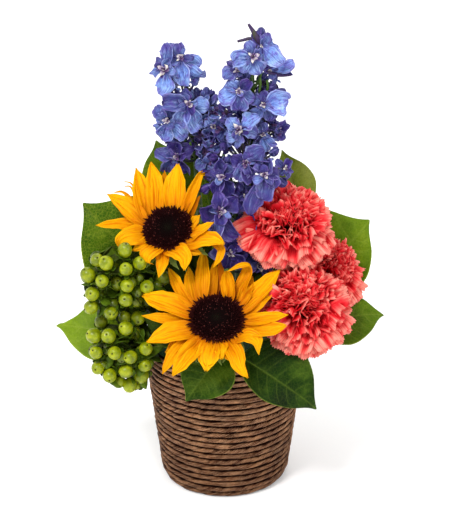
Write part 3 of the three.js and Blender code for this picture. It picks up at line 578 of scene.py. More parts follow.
def liner_material():
    m = Mat("liner_plastic", 0.38)
    n1 = m.noise(m.place(300, 300, 40), 1.0, 4, 0.6)
    c = m.ramp(n1, [(0.3, lin(22, 26, 24)), (0.7, lin(40, 46, 42))])
    return m.finish(c, m.grey(n1, [(0.3, 0.3), (0.7, 0.5)]), m.bump(n1, 0.15, 0.0004))


ROPE = rope_material()
# two copies of one ray material: the rays behind the others take the one with the darker painted shade colour
RAY_FRONT = ray_material("sunflower_ray_front", (176, 82, 0))
RAY_BACK_SHADED = ray_material("sunflower_ray_back_shaded", (160, 74, 0))
DISC = disc_material()
CALYX = green_material("sunflower_green", (40, 64, 14), (74, 102, 26), (150, 164, 78), 0.6, 0.1)
STEM = green_material("flower_stem", (36, 62, 12), (62, 96, 22), (108, 138, 50), 0.5)
TWIG = green_material("hypericum_twig", (42, 54, 10), (74, 90, 20), (122, 134, 46), 0.5)
SPRIG_LEAF = green_material("hypericum_leaf", (32, 50, 4), (62, 86, 10), (104, 128, 28), 0.45)
PETAL = carnation_material()
SEPAL = sepal_material()
BEE = bee_material()
SPUR = spur_material()
BERRY = berry_material()
FOAM = foam_material()
LINER = liner_material()
LEAF = leaf_material("salal_leaf", (36, 62, 2), (60, 92, 4), (88, 116, 10), (136, 148, 40), 0.5, 0.45, 500, 0.07)
LEAF_BRIGHT = leaf_material("salal_leaf_bright", (58, 84, 2), (86, 114, 8), (108, 132, 16), (132, 152, 46), 0.48, 0.15, 420, 0.08)
LEAF_YELLOW = leaf_material("salal_leaf_yellow_green", (80, 106, 4), (106, 134, 14), (128, 152, 26), (150, 168, 62), 0.48, 0.12, 420, 0.1)
LEAF_SIDE = leaf_material("salal_leaf_side", (48, 70, 2), (76, 102, 9), (100, 122, 18), (124, 140, 46), 0.48, 0.18, 420, 0.07)
LEAF_OLIVE = leaf_material("salal_leaf_olive", (72, 84, 16), (104, 120, 34), (130, 140, 56), (126, 138, 70), 0.55, 0.2, 600, 0.08)
# darker copies of the salal leaf for the two front leaves under the flower heads: painted shade
LEAF_DARK = leaf_material("salal_leaf_dark", (7, 21, 0), (18, 42, 0), (38, 66, 2), (96, 118, 36), 0.4, 0.1, 420, 0.08)
LEAF_MID = leaf_material("salal_leaf_mid", (16, 36, 0), (30, 56, 0), (50, 78, 4), (106, 128, 40), 0.42, 0.15, 420, 0.08)
LEAF_SHADE = leaf_material("shaded_leaf", (12, 22, 1), (26, 42, 2), (50, 68, 10), (74, 90, 26), 0.5, 0.15, 420, 0.06)

# ---------------------------------------------------------------- basket
PITCH = 4.72
TURNS = 22
RIM_Z = 106.35


def outer(z):
    return 45.4 + 0.125 * z


def middle(z):
    """Radius of the rope's middle line: it draws in at the foot."""
    return outer(z) - 2.35 - 1.7 * np.clip((7.0 - z) / 5, 0, 1) ** 1.6


def rope(build, centre, out, up, along, half_out, half_up, seed, lay=38.0, sides=24, ends=True):
    """Twisted paper rope: two strands whose overlapping edges run round it. along is the length from its start."""
    rng = np.random.default_rng(seed)
    n = len(centre)
    slow, size, step1, step2, tilt = (wobble(rng, 6, 0.01, 0.09), wobble(rng, 6, 0.02, 0.22), wobble(rng, 6, 0.03, 0.12), wobble(rng, 6, 0.03, 0.12), wobble(rng, 5, 0.01, 0.06))
    twist = 2 * math.pi * along / lay + 5.5 * slow(along)
    j = np.arange(sides)
    share = (j % (sides // 2)) / (sides // 2)
    saw = np.where(share < 0.84, share / 0.84, (1 - share) / 0.16)
    strand = (j < sides // 2)
    depth = np.where(strand[None, :], 0.19 + 0.15 * step1(along)[:, None], 0.16 + 0.15 * step2(along)[:, None])
    psi = 2 * math.pi * j[None, :] / sides + twist[:, None]
    square = (np.abs(np.cos(psi)) ** 2.2 + np.abs(np.sin(psi)) ** 2.2) ** (-1 / 2.2)
    r = square * (1 - depth * (1 - saw[None, :])) * (1 + 0.06 * size(along)[:, None])
    crease = wobble(rng, 5, 0.4, 1.6)
    r = r * (1 + 0.03 * crease(along[:, None] + 9 * np.cos(2 * math.pi * j[None, :] / sides)))
    fade = np.ones(n)
    if ends:
        d = np.minimum(along - along[0], along[-1] - along)
        fade = 0.35 + 0.65 * smooth(d / 7.0)
    r = r * fade[:, None]
    p = centre[:, None, :] + (r * np.cos(psi))[..., None] * half_out * out[:, None, :] + (r * np.sin(psi))[..., None] * half_up * up[:, None, :]
    # shade is painted shade: darker where the rope turns away from the outside, at the strand edges and in the grooves
    # between turns, and darker still in the stretches that gap picks out
    shade = 0.15 + 0.95 * np.clip(np.cos(psi), 0, 1) ** 0.6 * (0.5 + 0.5 * np.clip(saw[None, :] * 3.0, 0, 1))
    gap = wobble(rng, 7, 0.02, 0.11)
    shade = np.clip(shade - 0.95 * np.abs(np.sin(psi)) ** 3.5, 0, 1) * (1 - 0.75 * smooth(gap(along) * 1.6)[:, None] * np.abs(np.sin(psi - 0.3)) ** 1.3)
    k = 2 * math.pi * j / sides
    col = np.stack([np.repeat(along[:, None] / 10, sides, 1), np.repeat(np.cos(k)[None], n, 0), np.repeat(np.sin(k)[None], n, 0), shade], -1)
    v = np.concatenate([p.reshape(-1, 3), centre[:1], centre[-1:]])
    col = np.concatenate([col.reshape(-1, 4), col[0, :1], col[-1, :1]])
    i = np.arange(n * sides).reshape(n, sides)
    q2 = np.roll(i, -1, axis=1)
    quads = np.stack([i[:-1].ravel(), i[1:].ravel(), q2[1:].ravel(), q2[:-1].ravel()], 1)
    s, e = n * sides, n * sides + 1
    tri = np.concatenate([np.stack([i[0], q2[0], np.full(sides, s)], 1), np.stack([q2[-1], i[-1], np.full(sides, e)], 1)])
    build.add(v, col, quads, tri)


def coil(first, last, step, seed):
    """Turns of rope from one to another, each level but for a short rise at the back."""
    a = np.arange(first * 2 * math.pi, last * 2 * math.pi, step / 48.0)
    turn = a / (2 * math.pi)
    k = np.floor(turn + 1e-9)
    z = RIM_Z - PITCH * (TURNS - k) + PITCH * smooth((turn - k - 0.9) / 0.1)
    rng = np.random.default_rng(77)
    dz, dr = wobble(rng, 7, 0.6, 5.3), wobble(rng, 7, 0.5, 3.7)
    z = z + 0.42 * dz(a) * smooth((z - 3) / 6) * smooth((105 - z) / 5)
    r = middle(z) + 0.32 * dr(a)
    az = a + math.pi / 2
    out = np.stack([np.cos(az), np.sin(az), np.zeros(len(a))], 1)
    up = np.stack([-0.12 * out[:, 0] * -1, -0.12 * out[:, 1] * -1, np.ones(len(a))], 1)
    up = unit(up)
    centre = out * r[:, None] + np.stack([np.zeros(len(a)), np.zeros(len(a)), z], 1)
    length = np.concatenate([[0], np.cumsum(np.linalg.norm(np.diff(centre, axis=0), axis=1))])
    return centre, out, up, length


b = Build()
c, o, u, s = coil(0, TURNS, 1.85, 1)
rope(b, c, o, u, s, 2.6, 2.42, 5)
piece("basket_wall_coil", b, [ROPE], "rope", "basket_wall")
b = Build()
c, o, u, s = coil(TURNS, TURNS + 0.93, 1.3, 2)
rope(b, c, o, u, s, 2.25, 2.3, 8)
piece("basket_rim_coil", b, [ROPE], "rope", "basket_rim")
b = Build()
a = np.arange(2.2 * math.pi, 9 * 2 * math.pi, 0.09)
rad = 4.15 * a / (2 * math.pi)
rad = np.minimum(rad, 35.6)
az = -a + math.pi / 2
o = np.stack([np.cos(az), np.sin(az), np.zeros(len(a))], 1)
c = o * rad[:, None] + V3(0, 0, 2.12)
s = np.concatenate([[0], np.cumsum(np.linalg.norm(np.diff(c, axis=0), axis=1))])
rope(b, c, o, np.repeat([[0, 0, -1.0]], len(a), 0), s, 2.15, 2.05, 11, sides=16)
b.ball(Frame([0, 0, 2.1], [0, 0, 1]), 4.0, (0, 1, 0, 0.7), 8, 16, shape=lambda t, p: 1 / np.maximum(np.sin(t), 1.9 * np.abs(np.cos(t))))
piece("basket_base_coil", b, [ROPE], "rope", "basket_base")

for name, material in (("liner", LINER), ("floral_foam", FOAM)):
    for ob in bpy.data.objects:
        if ob.name == name and ob.type == "MESH":
            ob.data.materials.clear()
            ob.data.materials.append(material)

# ---------------------------------------------------------------- sunflowers
FOAM_TOP = 113.0


def foot(x, y):
    return [[x, y, FOAM_TOP - 21.5], [x, y, FOAM_TOP - 1]]


def blade(build, path, side, width, colour, nu=11, cup=0.0, groove=0.0, grooves=1.5, twist=0.0, edge=0.0, thick=0.4, mat=0, rng=None, tip_teeth=0.0, cup_end=None, wave=0.0, fold=0.0, crumple=0.0, fine=(0.25, 1.0), extra=None):
    """A petal along a path: width across it, edges raised by cup, long grooves, wavy edges, a fold, crumples and a toothed tip."""
    rng = rng or np.random.default_rng(0)
    p = np.asarray(path, float)
    n = len(p)
    t = np.linspace(0, 1, n)
    tan = unit(np.gradient(p, axis=0))
    s = np.array(side, float)
    sides = []
    for k in range(n):
        s = unit(s - (s @ tan[k]) * tan[k])
        sides.append(s)
    sides = np.array(sides)
    nor = np.cross(tan, sides)
    tw = twist * t
    s2 = sides * np.cos(tw)[:, None] + nor * np.sin(tw)[:, None]
    n2 = np.cross(tan, s2)
    u = np.linspace(-1, 1, nu)
    w = np.asarray(width, float)
    left, right, lift = wobble(rng, 4, 3, 11), wobble(rng, 4, 3, 11), wobble(rng, 4, 4, 12)
    nick = 0.45 * edge * (1 - 1.6 * np.abs(np.sin(rng.uniform(9, 15) * t + rng.uniform(0, 3)))) * smooth((t - 0.3) / 0.4)
    nick2 = 0.45 * edge * (1 - 1.6 * np.abs(np.sin(rng.uniform(9, 15) * t + rng.uniform(0, 3)))) * smooth((t - 0.3) / 0.4)
    wu = np.where(u[None, :] < 0, w[:, None] * (1 + edge * left(t) + nick)[:, None], w[:, None] * (1 + edge * right(t) + nick2)[:, None])
    ce = cup if cup_end is None else cup_end
    cups = cup + (ce - cup) * t
    ph = rng.uniform(-0.6, 0.6)
    rise = cups[:, None] * wu * u[None, :] ** 2
    rise = rise - groove * (np.cos(2 * math.pi * grooves * u[None, :] + ph)) * (smooth(t * 5) * (1 - t ** 3))[:, None]
    rise = rise + wave * wu * lift(t * 1.0 + 2.0 * np.sign(0.5))[:, None] * np.abs(u[None, :]) ** 1.5 * np.sign(u[None, :])
    rise = rise + fold * wu * (np.abs(u[None, :]) ** 1.25 - 0.4) * smooth(t * 4)[:, None]
    if crumple:
        run = np.concatenate([[0], np.cumsum(np.linalg.norm(np.diff(p, axis=0), axis=1))])
        rise = rise + crumple * crinkle(rng, 7, *fine)(run[:, None] + 0 * u[None, :], u[None, :] * wu) * smooth(t * 4)[:, None]
    if extra is not None:
        rise = rise + extra(t[:, None], u[None, :])
    teeth = tip_teeth * (np.abs(np.sin(2.1 * u * math.pi + ph)) - 0.5)[None, :] * (smooth((t - 0.75) / 0.25))[:, None]
    q = p[:, None] + s2[:, None] * (u[None, :] * wu)[..., None] + n2[:, None] * rise[..., None] + tan[:, None] * teeth[..., None]
    c = np.zeros((n, nu, 4))
    c[..., 0] = t[:, None]
    c[..., 1] = 0.5 + 0.5 * u[None, :]
    c[..., 2] = colour[0]
    c[..., 3] = colour[1]
    build.sheet(q, c, thick, mat)


def ray_width(t, half, blunt=0.0, base=0.5):
    f = np.where(t < 0.4, 1 - (1 - t / 0.4) ** 2 * (1 - base), np.clip(1 - ((t - 0.4) / 0.6) ** (1.9 + 1.5 * blunt), 0, 1) ** (0.95 - 0.35 * blunt))
    return half * np.maximum(f, 0.06 + 0.22 * blunt)


def leaf_share(t):
    """How broad a leaf is along its length: a rounded base, widest before the middle, and a point."""
    t = np.clip(t, 0, 1)
    q = np.clip((t - 0.42) / 0.58, 0, 1)
    return np.where(t < 0.42, (1 - (1 - np.minimum(t, 0.42) / 0.42) ** 2.1) ** 0.62, (1 - q ** 1.6) * (1 - 0.42 * smooth((q - 0.55) / 0.45)))


def stem_leaf(b, base, tip, half, rng, mat, view=(0, -0.9, 0.4)):
    """A leaf on a stem, its upper face towards the view."""
    base, tip, view = np.array(base, float), np.array(tip, float), unit(view)
    d = tip - base
    L = np.linalg.norm(d)
    path = even(catmull([base, base + d * 0.35 + view * 0.07 * L, base + d * 0.75 + view * 0.05 * L, tip - view * 0.04 * L], 60), 34)
    t = np.linspace(0, 1, 34)
    blade(b, path, np.cross(unit(d), view), half * leaf_share(t) + 0.2, (0.12, 0.0), nu=21, cup=0.08, fold=0.16, groove=0.15, grooves=2.5, wave=0.2, edge=0.05, thick=0.45, crumple=0.5, fine=(0.15, 0.6), mat=mat, rng=rng)


# Each ray: points along it [right, up, out of the face] from the disc's edge, half width, layer, cup, bluntness, shade, twist, teeth.
RAYS = {
    "sunflower_low": [
        ([(-18.4, 9.9, 0.4), (-26.6, 20.8, 4), (-34.0, 35.3, 4)], 4.6, 1, 0.25, 0.4, 0.05, 0.1, 0.8),
        ([(-15.2, 13.5, -0.6), (-18.6, 24.0, 2.5), (-20.6, 38.0, 2)], 5.0, 1, 0.25, 0.0, 0.15, 0, 0.6),
        ([(-9.8, 15.3, 0.6), (-10.6, 28.8, 4), (-10.9, 50.1, 3)], 5.2, 0, 0.3, 0.5, 0.1, 0, 1.0),
        ([(-3.9, 17.4, -1.8), (-3.5, 27.9, 1.5), (-3.1, 42.8, 1)], 3.9, 2, 0.3, 0.2, 0.45, 0, 0.6),
        ([(1.2, 17.5, -1.8), (1.2, 29.0, 1), (0.7, 43.6, 1)], 4.0, 2, 0.2, 0.3, 0.85, 0, 0.6),
        ([(7.9, 14.9, 0.6), (7.4, 22.8, 4.5), (5.1, 33.7, 5)], 5.0, 0, 0.4, 0.8, 0.2, 0, 0.2),
        ([(12.6, 14.9, -0.6), (17.5, 24.9, 4), (21.7, 32.8, 8), (20.6, 36.2, 11), (13.6, 35.0, 13), (6.7, 29.9, 13)], 6.0, 1, 0.35, 0.3, 0.1, -0.9, 0.5),
        ([(16.1, 12.7, -0.6), (20.0, 20.9, 3), (23.1, 30.3, 4)], 5.0, 2, 0.35, 0.3, 0.35, 0.1, 0.5),
        ([(17.6, 9.1, 0.6), (29.5, 20.9, 4), (41.9, 35.6, 5)], 7.6, 0, 0.2, 0.0, 0.0, 0.1, 0.5),
        ([(19.7, 6.0, -0.6), (29.1, 12.0, 3), (37.9, 21.0, 3)], 5.2, 1, 0.15, 0.1, 0.1, 0, 0.6),
        ([(20.6, -1.3, 0.6), (33.5, -0.4, 4), (47.7, 2.2, 4)], 5.0, 0, 0.2, 0.1, 0.0, 0.15, 0.6),
        ([(20.1, -6.2, -0.2), (33.7, -9.0, 4), (46.5, -5.2, 2.5)], 7.4, 1, 0.14, 0.35, 0.02, 0.05, 1.2),
        ([(14.4, -14.9, 0.6), (21.8, -14.9, 5), (27.3, -18.1, 5), (29.4, -25.2, 0)], 6.6, 0, 0.1, 0.15, 0.0, -0.2, 0.6),
        ([(9.1, -17.6, -0.2), (14.3, -29.0, 4), (17.2, -36.7, 3.5), (22.3, -42.9, 1)], 6.2, 1, 0.2, 0.3, 0.0, 0.15, 0.8),
        ([(1.0, -18.3, -0.6), (2.7, -24.9, 2.5), (4.6, -29.8, 2)], 7.0, 1, 0.1, 0.5, 0.05, 0, 1.2),
        ([(-3.0, -18.9, 0.4), (-4.2, -27.7, 3.5), (-5.3, -37.7, 1.5)], 7.8, 0, 0.12, 0.7, 0.0, 0, 2.4),
        ([(-10.4, -16.9, 0.6), (-18.1, -29.7, 4), (-27.3, -43.4, 3)], 7.2, 0, 0.2, 0.25, 0.0, 0.1, 0.8),
        ([(-15.3, -14.3, -0.6), (-24.7, -26.3, 2.5), (-34.0, -41.7, 2)], 5.2, 1, 0.45, 0.3, 0.1, 0.5, 0.8),
        ([(-17.6, -8.7, 0.2), (-31.3, -13.8, 4), (-45.8, -19.0, 2)], 8.8, 0, 0.14, 0.1, 0.0, 0.12, 0.5),
        ([(-18.7, -1.8, -1.8), (-34.8, -1.7, 1), (-50.5, 0.7, 1)], 4.8, 2, 0.25, 0.0, 0.08, 0.1, 0.3),
        ([(-18.2, 4.5, 0.6), (-32.5, 8.9, 4), (-49.7, 14.1, 4)], 8.4, 0, 0.14, 0.45, 0.0, -0.1, 1.6),
        ([(-13.5, -11.4, -1.8), (-23.9, -18.5, 0), (-33.0, -24.9, -1)], 5.5, 2, 0.2, 0.3, 0.3, 0, 0.5),
        ([(5.6, -17.7, -1.8), (10.7, -26.5, 0), (14.3, -32.6, -1)], 5.5, 2, 0.2, 0.3, 0.3, 0, 0.5),
    ],
    "sunflower_high": [
        ([(-10.6, 11.0, 0.6), (-13.0, 25.8, 6), (-18.7, 43.6, 11)], 7.2, 0, 0.24, 0.25, 0.0, 0, 1.0),
        ([(1.5, 12.2, 0.6), (1.3, 27.2, 6), (-0.1, 44.2, 11)], 8.0, 0, 0.2, 0.55, 0.0, 0, 0.8),
        ([(-16.1, 8.7, -0.6), (-21.6, 20.8, 5), (-29.0, 39.4, 9)], 7.2, 1, 0.26, 0.05, 0.0, 0.05, 0.4),
        ([(-13.9, 11.1, -1.8), (-16.0, 22.4, 3), (-20.4, 36.0, 6)], 4.8, 2, 0.3, 0.1, 0.45, 0, 0.4),
        ([(-5.6, 13.6, -1.8), (-6.8, 25.7, 3), (-9.4, 40.5, 7)], 4.6, 2, 0.3, 0.1, 0.5, 0, 0.4),
        ([(-18.2, 3.2, 0.6), (-29.5, 10.8, 5), (-44.6, 17.4, 9)], 7.8, 0, 0.22, 0.05, 0.0, 0.1, 0.3),
        ([(-21.6, 7.6, -1), (-29.2, 17.1, 3), (-35.9, 21.5, 6), (-40.2, 19.6, 9)], 2.2, 1, 0.5, 0.1, 0.1, 0.8, 0.3),
        ([(-23.4, 13.9, 0), (-27.2, 21.7, 5), (-31.0, 26.1, 7), (-34.5, 25.4, 8)], 1.1, 1, 0.3, 0.2, 0.1, 0.4, 0),
        ([(-23.5, 17.8, 0), (-27.8, 25.2, 5), (-31.2, 28.9, 7), (-35.5, 29.0, 8)], 0.9, 1, 0.3, 0.2, 0.2, 0.4, 0),
        ([(-18.0, -1.4, 0.6), (-32.4, -2.8, 5), (-47.4, -7.1, 9)], 5.6, 0, 0.22, 0.0, 0.0, 0.05, 0.2),
        ([(-14.9, -6.3, 0.2), (-23.4, -11.0, 6), (-28.9, -14.1, 5), (-31.2, -17.4, -1)], 7.6, 0, 0.1, 0.3, 0.0, -0.2, 0.8),
        ([(-10.8, -10.0, -0.6), (-15.5, -15.7, 2), (-20.9, -19.2, 1)], 5.2, 1, 0.1, 0.0, 0.05, 0, 0.4),
        ([(-3.4, -14.5, 0.6), (-6.7, -20.6, 6), (-9.3, -24.7, 6), (-8.9, -27.2, 2), (-5.4, -27.1, -1)], 6.4, 0, 0.05, 0.2, 0.0, 0.2, 0.8),
        ([(-0.5, -15.8, -0.6), (1.4, -25.6, 1), (1.2, -37.1, 1)], 4.8, 1, 0.3, 0.0, 0.1, 0.1, 0.3),
        ([(4.5, -15.1, 0.6), (12.6, -19.3, 6), (16.9, -22.9, 5), (17.1, -29.1, 0)], 7.6, 0, 0.05, 0.15, 0.0, 0.15, 0.8),
        ([(15.2, -9.4, 0.6), (26.9, -7.5, 6), (36.1, -7.8, 7), (41.1, -8.8, 4)], 7.6, 0, 0.0, 0.45, 0.0, 0.1, 1.0),
        ([(33.3, -6.7, -1), (39.1, -10.9, -2), (38.6, -16.5, -3), (35.1, -22.9, -5)], 3.0, 1, 0.3, 0.2, 0.12, 0.3, 0.5),
        ([(14.8, 2.7, -0.6), (18.4, 6.0, 4), (21.6, 9.5, 6)], 4.6, 1, 0.2, 0.1, 0.2, 0, 0.4),
        ([(16.0, -2.9, 0.0), (24.1, -0.8, 5), (31.4, 5.2, 6)], 6.2, 1, 0.14, 0.2, 0.02, 0, 0.6),
        ([(12.1, 11.5, -1.8), (15.5, 16.3, 3), (18.6, 24.3, 6)], 4.8, 2, 0.3, 0.2, 0.75, 0, 0.4),
        ([(8.4, 11.9, -0.4), (12.5, 23.7, 6), (15.4, 32.6, 10), (17.6, 38.0, 12), (20.4, 39.4, 9)], 4.0, 1, 0.45, 0.5, 0.15, 1.0, 0.8),
        ([(10.0, -13.3, -1.8), (18.6, -15.4, 1), (26.1, -15.6, 0)], 5.0, 2, 0.1, 0.2, 0.3, 0, 0.5),
    ],
}
SUNFLOWERS = [
    dict(name="sunflower_low", c=[-5.7, -62, 150.4], n=[-0.03, -0.62, 0.78], disc=17.9, foot=[-4, -31], bend=[[-4.6, -43, 124]], squash=0.93, seed=21, leaves=[([-20.1, -40.0, 119.8], [-58.2, -43.0, 146.5], 11), ([-13.0, -34.0, 151.4], [-5.5, -23.0, 184.1], 9), ([7.6, -30.0, 149.5], [25.7, -14.0, 171.0], 8)]),
    dict(name="sunflower_high", c=[-38.7, -30, 202.8], n=[-0.15, -0.62, 0.77], disc=15.8, foot=[-20, -6], bend=[[-24, -8, 138], [-33, -14, 172]], seed=22,
         leaves=[([-27.8, -10.5, 156], [-9, -18, 187], 11.5), ([-25.5, -9, 146], [-32, -25, 181], 9)]),
]


def sunflower(d):
    name, R = d["name"], d["disc"]
    f = Frame(d["c"], d["n"])
    rng = np.random.default_rng(d["seed"])
    # rays
    b = Build()
    for points, half, layer, cup, blunt, shade, twist, teeth in RAYS[name]:
        q = np.array(points, float)
        r = np.hypot(q[0, 0], q[0, 1])
        inner = [q[0, 0] * (1 - 3.4 / r), q[0, 1] * (1 - 3.4 / r), q[0, 2] - 0.4]
        n = 36 if len(q) <= 3 else 46
        path = even(catmull([inner, *q], 120), n)
        t = np.linspace(0, 1, n)
        e = q[1] - np.array(inner)
        k, ph, deep = (2.4 if half > 5.2 else 1.6), rng.uniform(0, 1), 0.95 * min(half / 6, 1) * rng.uniform(0.7, 1.3)
        ribs = lambda tt, uu: deep * (0.5 - np.abs(np.sin(math.pi * (k * uu * (1 - 0.25 * tt) + ph)))) * smooth(tt * 6) * (1 - tt ** 3)
        blade(b, f.at(path), f.dir(unit(V3(-e[1], e[0], 0))), 0.94 * ray_width(t, half, blunt), (rng.uniform(), shade), nu=25, cup=cup, groove=0.2 if half > 3 else 0.1, grooves=rng.choice([1.0, 1.5]),
              twist=twist + rng.uniform(-0.16, 0.16), edge=0.15, thick=0.42, mat=1 if layer == 2 else 0, rng=rng, tip_teeth=1.5 * teeth + 0.5, cup_end=cup * 1.5 - 0.05, wave=0.28, fold=rng.uniform(-0.1, 0.3),
              crumple=0.7 * min(half / 5, 1), fine=(0.12, 0.6), extra=ribs)
        # painted shade in the valleys between the ribs, added to the ray's shade number
        u25 = np.linspace(-1, 1, 25)[None, :]
        low = np.clip(0.42 - ribs(t[:, None], u25) / deep - 0.9, 0, 1) if deep > 0 else 0
        b.c[-1][:, 3] = np.clip(b.c[-1][:, 3] + 0.9 * np.tile((low * np.ones((n, 25))).ravel(), 2), 0, 1)
    plate = [[0, -3], [R - 2, -3], [R - 1.2, -1.8], [R - 2.2, -0.5], [0, -0.4]]
    # the plate under the rays sits half in the painted shade colour
    b.lathe(f, plate, (0.0, 0.5, 0.3, 0.5), 40)
    piece(name + "_ray_ring", b, [RAY_FRONT, RAY_BACK_SHADED], "sunflower_ray", name + "_rays")
    # disc: a low dome packed with florets on a sunflower spiral, open and spiky towards the edge
    b = Build()
    f = Frame(d["c"], d["n"])
    f.y = f.y * d.get("squash", 1.0)
    dome = lambda r: 3.3 + 0.9 * np.sin(np.clip(r / R, 0, 1) * math.pi * 0.62) * 1.2 - 5.0 * np.clip((r / R - 0.62) / 0.38, 0, 1) ** 2
    prof = [[0, -0.2], [R * 0.93, -0.2]] + [[R * q, float(dome(R * q)) - 1.0] for q in (0.97, 0.9, 0.8, 0.68, 0.55, 0.4, 0.25, 0.12)] + [[0, float(dome(0.0)) - 1.0]]
    b.lathe(f, prof, (0.5, 0, 0, 0), 48)
    total = 760
    for i in range(total):
        q = math.sqrt((i + 0.5) / total)
        r = R * 0.985 * q
        a = i * 2.399963
        h = 0.5 + 1.3 * smooth((q - 0.25) / 0.5) + (1.2 * rng.uniform(0.4, 1.2) if q > 0.8 else 0)
        wd = 0.42 + 0.12 * rng.uniform() + (0.06 if q > 0.55 else 0)
        lean = 0.1 + 0.75 * smooth((q - 0.6) / 0.4) + rng.uniform(-0.25, 0.25)
        out = V3(math.cos(a), math.sin(a), 0)
        base = out * r + V3(0, 0, float(dome(r)) - 1.3)
        up = unit(V3(0, 0, 1) * math.cos(lean) + out * math.sin(lean) + rng.uniform(-0.16, 0.16, 3))
        tip = base + up * (h + 0.8)
        tan = unit(np.cross(up, V3(0.3, 0.5, 0.1)))
        oth = np.cross(up, tan)
        rings = []
        for hh, ww in ((0, 1.15), (0.55, 1.0), (0.85, 0.62)):
            k = np.arange(5) * 2 * math.pi / 5 + i
            rings.append(base + up * (h + 0.8) * hh + (np.cos(k)[:, None] * tan + np.sin(k)[:, None] * oth) * wd * ww)
        v = f.at(np.concatenate([np.concatenate(rings), [tip, base]]))
        ii = np.arange(15).reshape(3, 5)
        jj = np.roll(ii, -1, axis=1)
        quads = np.stack([ii[:-1].ravel(), jj[:-1].ravel(), jj[1:].ravel(), ii[1:].ravel()], 1)
        tri = np.concatenate([np.stack([ii[-1], jj[-1], np.full(5, 15)], 1), np.stack([jj[0], ii[0], np.full(5, 16)], 1)])
        spark = rng.uniform() ** 3 if q > 0.35 else 0
        col = np.zeros((17, 4))
        col[:, 0] = q
        col[10:16, 1] = spark
        col[15, 1] = 0.4 + 0.6 * spark if q > 0.35 else 0.2
        b.add(v, col, quads, tri)
    # the disc's border of dark pointed scales that lie over the rays' feet
    for i in range(46):
        a = 2 * math.pi * i / 46 + rng.uniform(-0.04, 0.04)
        L = rng.uniform(1.4, 5.0)
        lift = rng.uniform(0.3, 2.2)
        path = [((R - 2.6 + (L + 2.2) * k) * math.cos(a), (R - 2.6 + (L + 2.2) * k) * math.sin(a), 1.2 + lift * k - 0.3 * k * k) for k in np.linspace(0, 1, 6)]
        t = np.linspace(0, 1, 6)
        blade(b, f.at(np.array(path)), f.dir(V3(-math.sin(a), math.cos(a), 0)), 1.25 * np.maximum(1 - t ** 1.5, 0.06), (0, 0), nu=5, cup=0.4, thick=0.3, rng=rng)
        b.c[-1] = np.tile([0.9, 0.25 * rng.uniform(), 0, 0], (len(b.c[-1]), 1))
    piece(name + "_disc_florets", b, [DISC], "sunflower_disc", name + "_disc")
    # calyx: a green cup and three rows of pointed bracts
    b = Build()
    f = Frame(d["c"], d["n"])
    cup = [[0, -15.0], [4.4, -15.0], [R * 0.42, -12.6], [R * 0.72, -9.4], [R * 0.92, -6], [R - 1.6, -3.6], [0, -3.2]]
    b.lathe(f, cup, (0, 0, 0, 0.1), 40)
    for row, (count, start, length, half, drop) in enumerate(((13, 0.92, 19, 3.9, 2.5), (12, 0.8, 17, 4.2, 5.0), (10, 0.6, 14, 4.4, 7.0))):
        for i in range(count):
            a = 2 * math.pi * (i + 0.5 * row + rng.uniform(-0.15, 0.15)) / count
            L = length * rng.uniform(0.85, 1.12)
            r0 = R * start - 3
            z0 = -5.0 - 2.9 * row
            out = rng.uniform(-2.5, 3.5)
            pts = [(r0, 0, z0), (r0 + 0.4 * L, 0, z0 + 1.2 - 0.2 * row), (r0 + 0.75 * L, rng.uniform(-1, 1), z0 + 0.8 - 0.3 * drop), (r0 + L, rng.uniform(-2.5, 2.5), z0 - drop + out)]
            path = catmull([(r * math.cos(a) - q * math.sin(a), r * math.sin(a) + q * math.cos(a), z) for r, q, z in pts], 13)
            t = np.linspace(0, 1, 13)
            w = half * np.where(t < 0.25, 0.8 + 0.8 * t, np.clip(1 - ((t - 0.25) / 0.75) ** 1.25, 0, 1) ** 1.1)
            blade(b, f.at(path), f.dir(V3(-math.sin(a), math.cos(a), 0)), np.maximum(w, 0.12), (0.5, 0.4 * rng.uniform()), nu=7, cup=0.25, groove=0.12, grooves=1, thick=0.6, edge=0.05, rng=rng)
            b.c[-1][:, 3] = np.tile(np.repeat(0.15 + 0.6 * t, 7), 2)
    piece(name + "_bracts", b, [CALYX], "green_stem", name + "_calyx")
    # stem
    b = Build()
    end = f.at(V3(0, 0, -15.2))
    pts = foot(*d["foot"]) + d["bend"] + [f.at(V3(0, 0, -26)).tolist(), end.tolist()]
    path = catmull(pts, 60, 0.01)
    ridge = [1 + 0.03 * np.cos(6 * np.arange(18) * 2 * math.pi / 18) for _ in path]
    rad = 3.3 + 0.15 * np.sin(np.linspace(0, 9, 60)) + 0.9 * smooth((np.linspace(0, 1, 60) - 0.93) / 0.07)
    b.tube(path, rad, (0, 0, 0, 0.2), 18, shape=ridge)
    for base, tip, half in d.get("leaves", []):
        stem_leaf(b, base, tip, half, rng, 1)
    piece(name + "_stalk", b, [STEM, LEAF_SHADE], "green_stem", name + "_stem")


for d in SUNFLOWERS:
    sunflower(d)

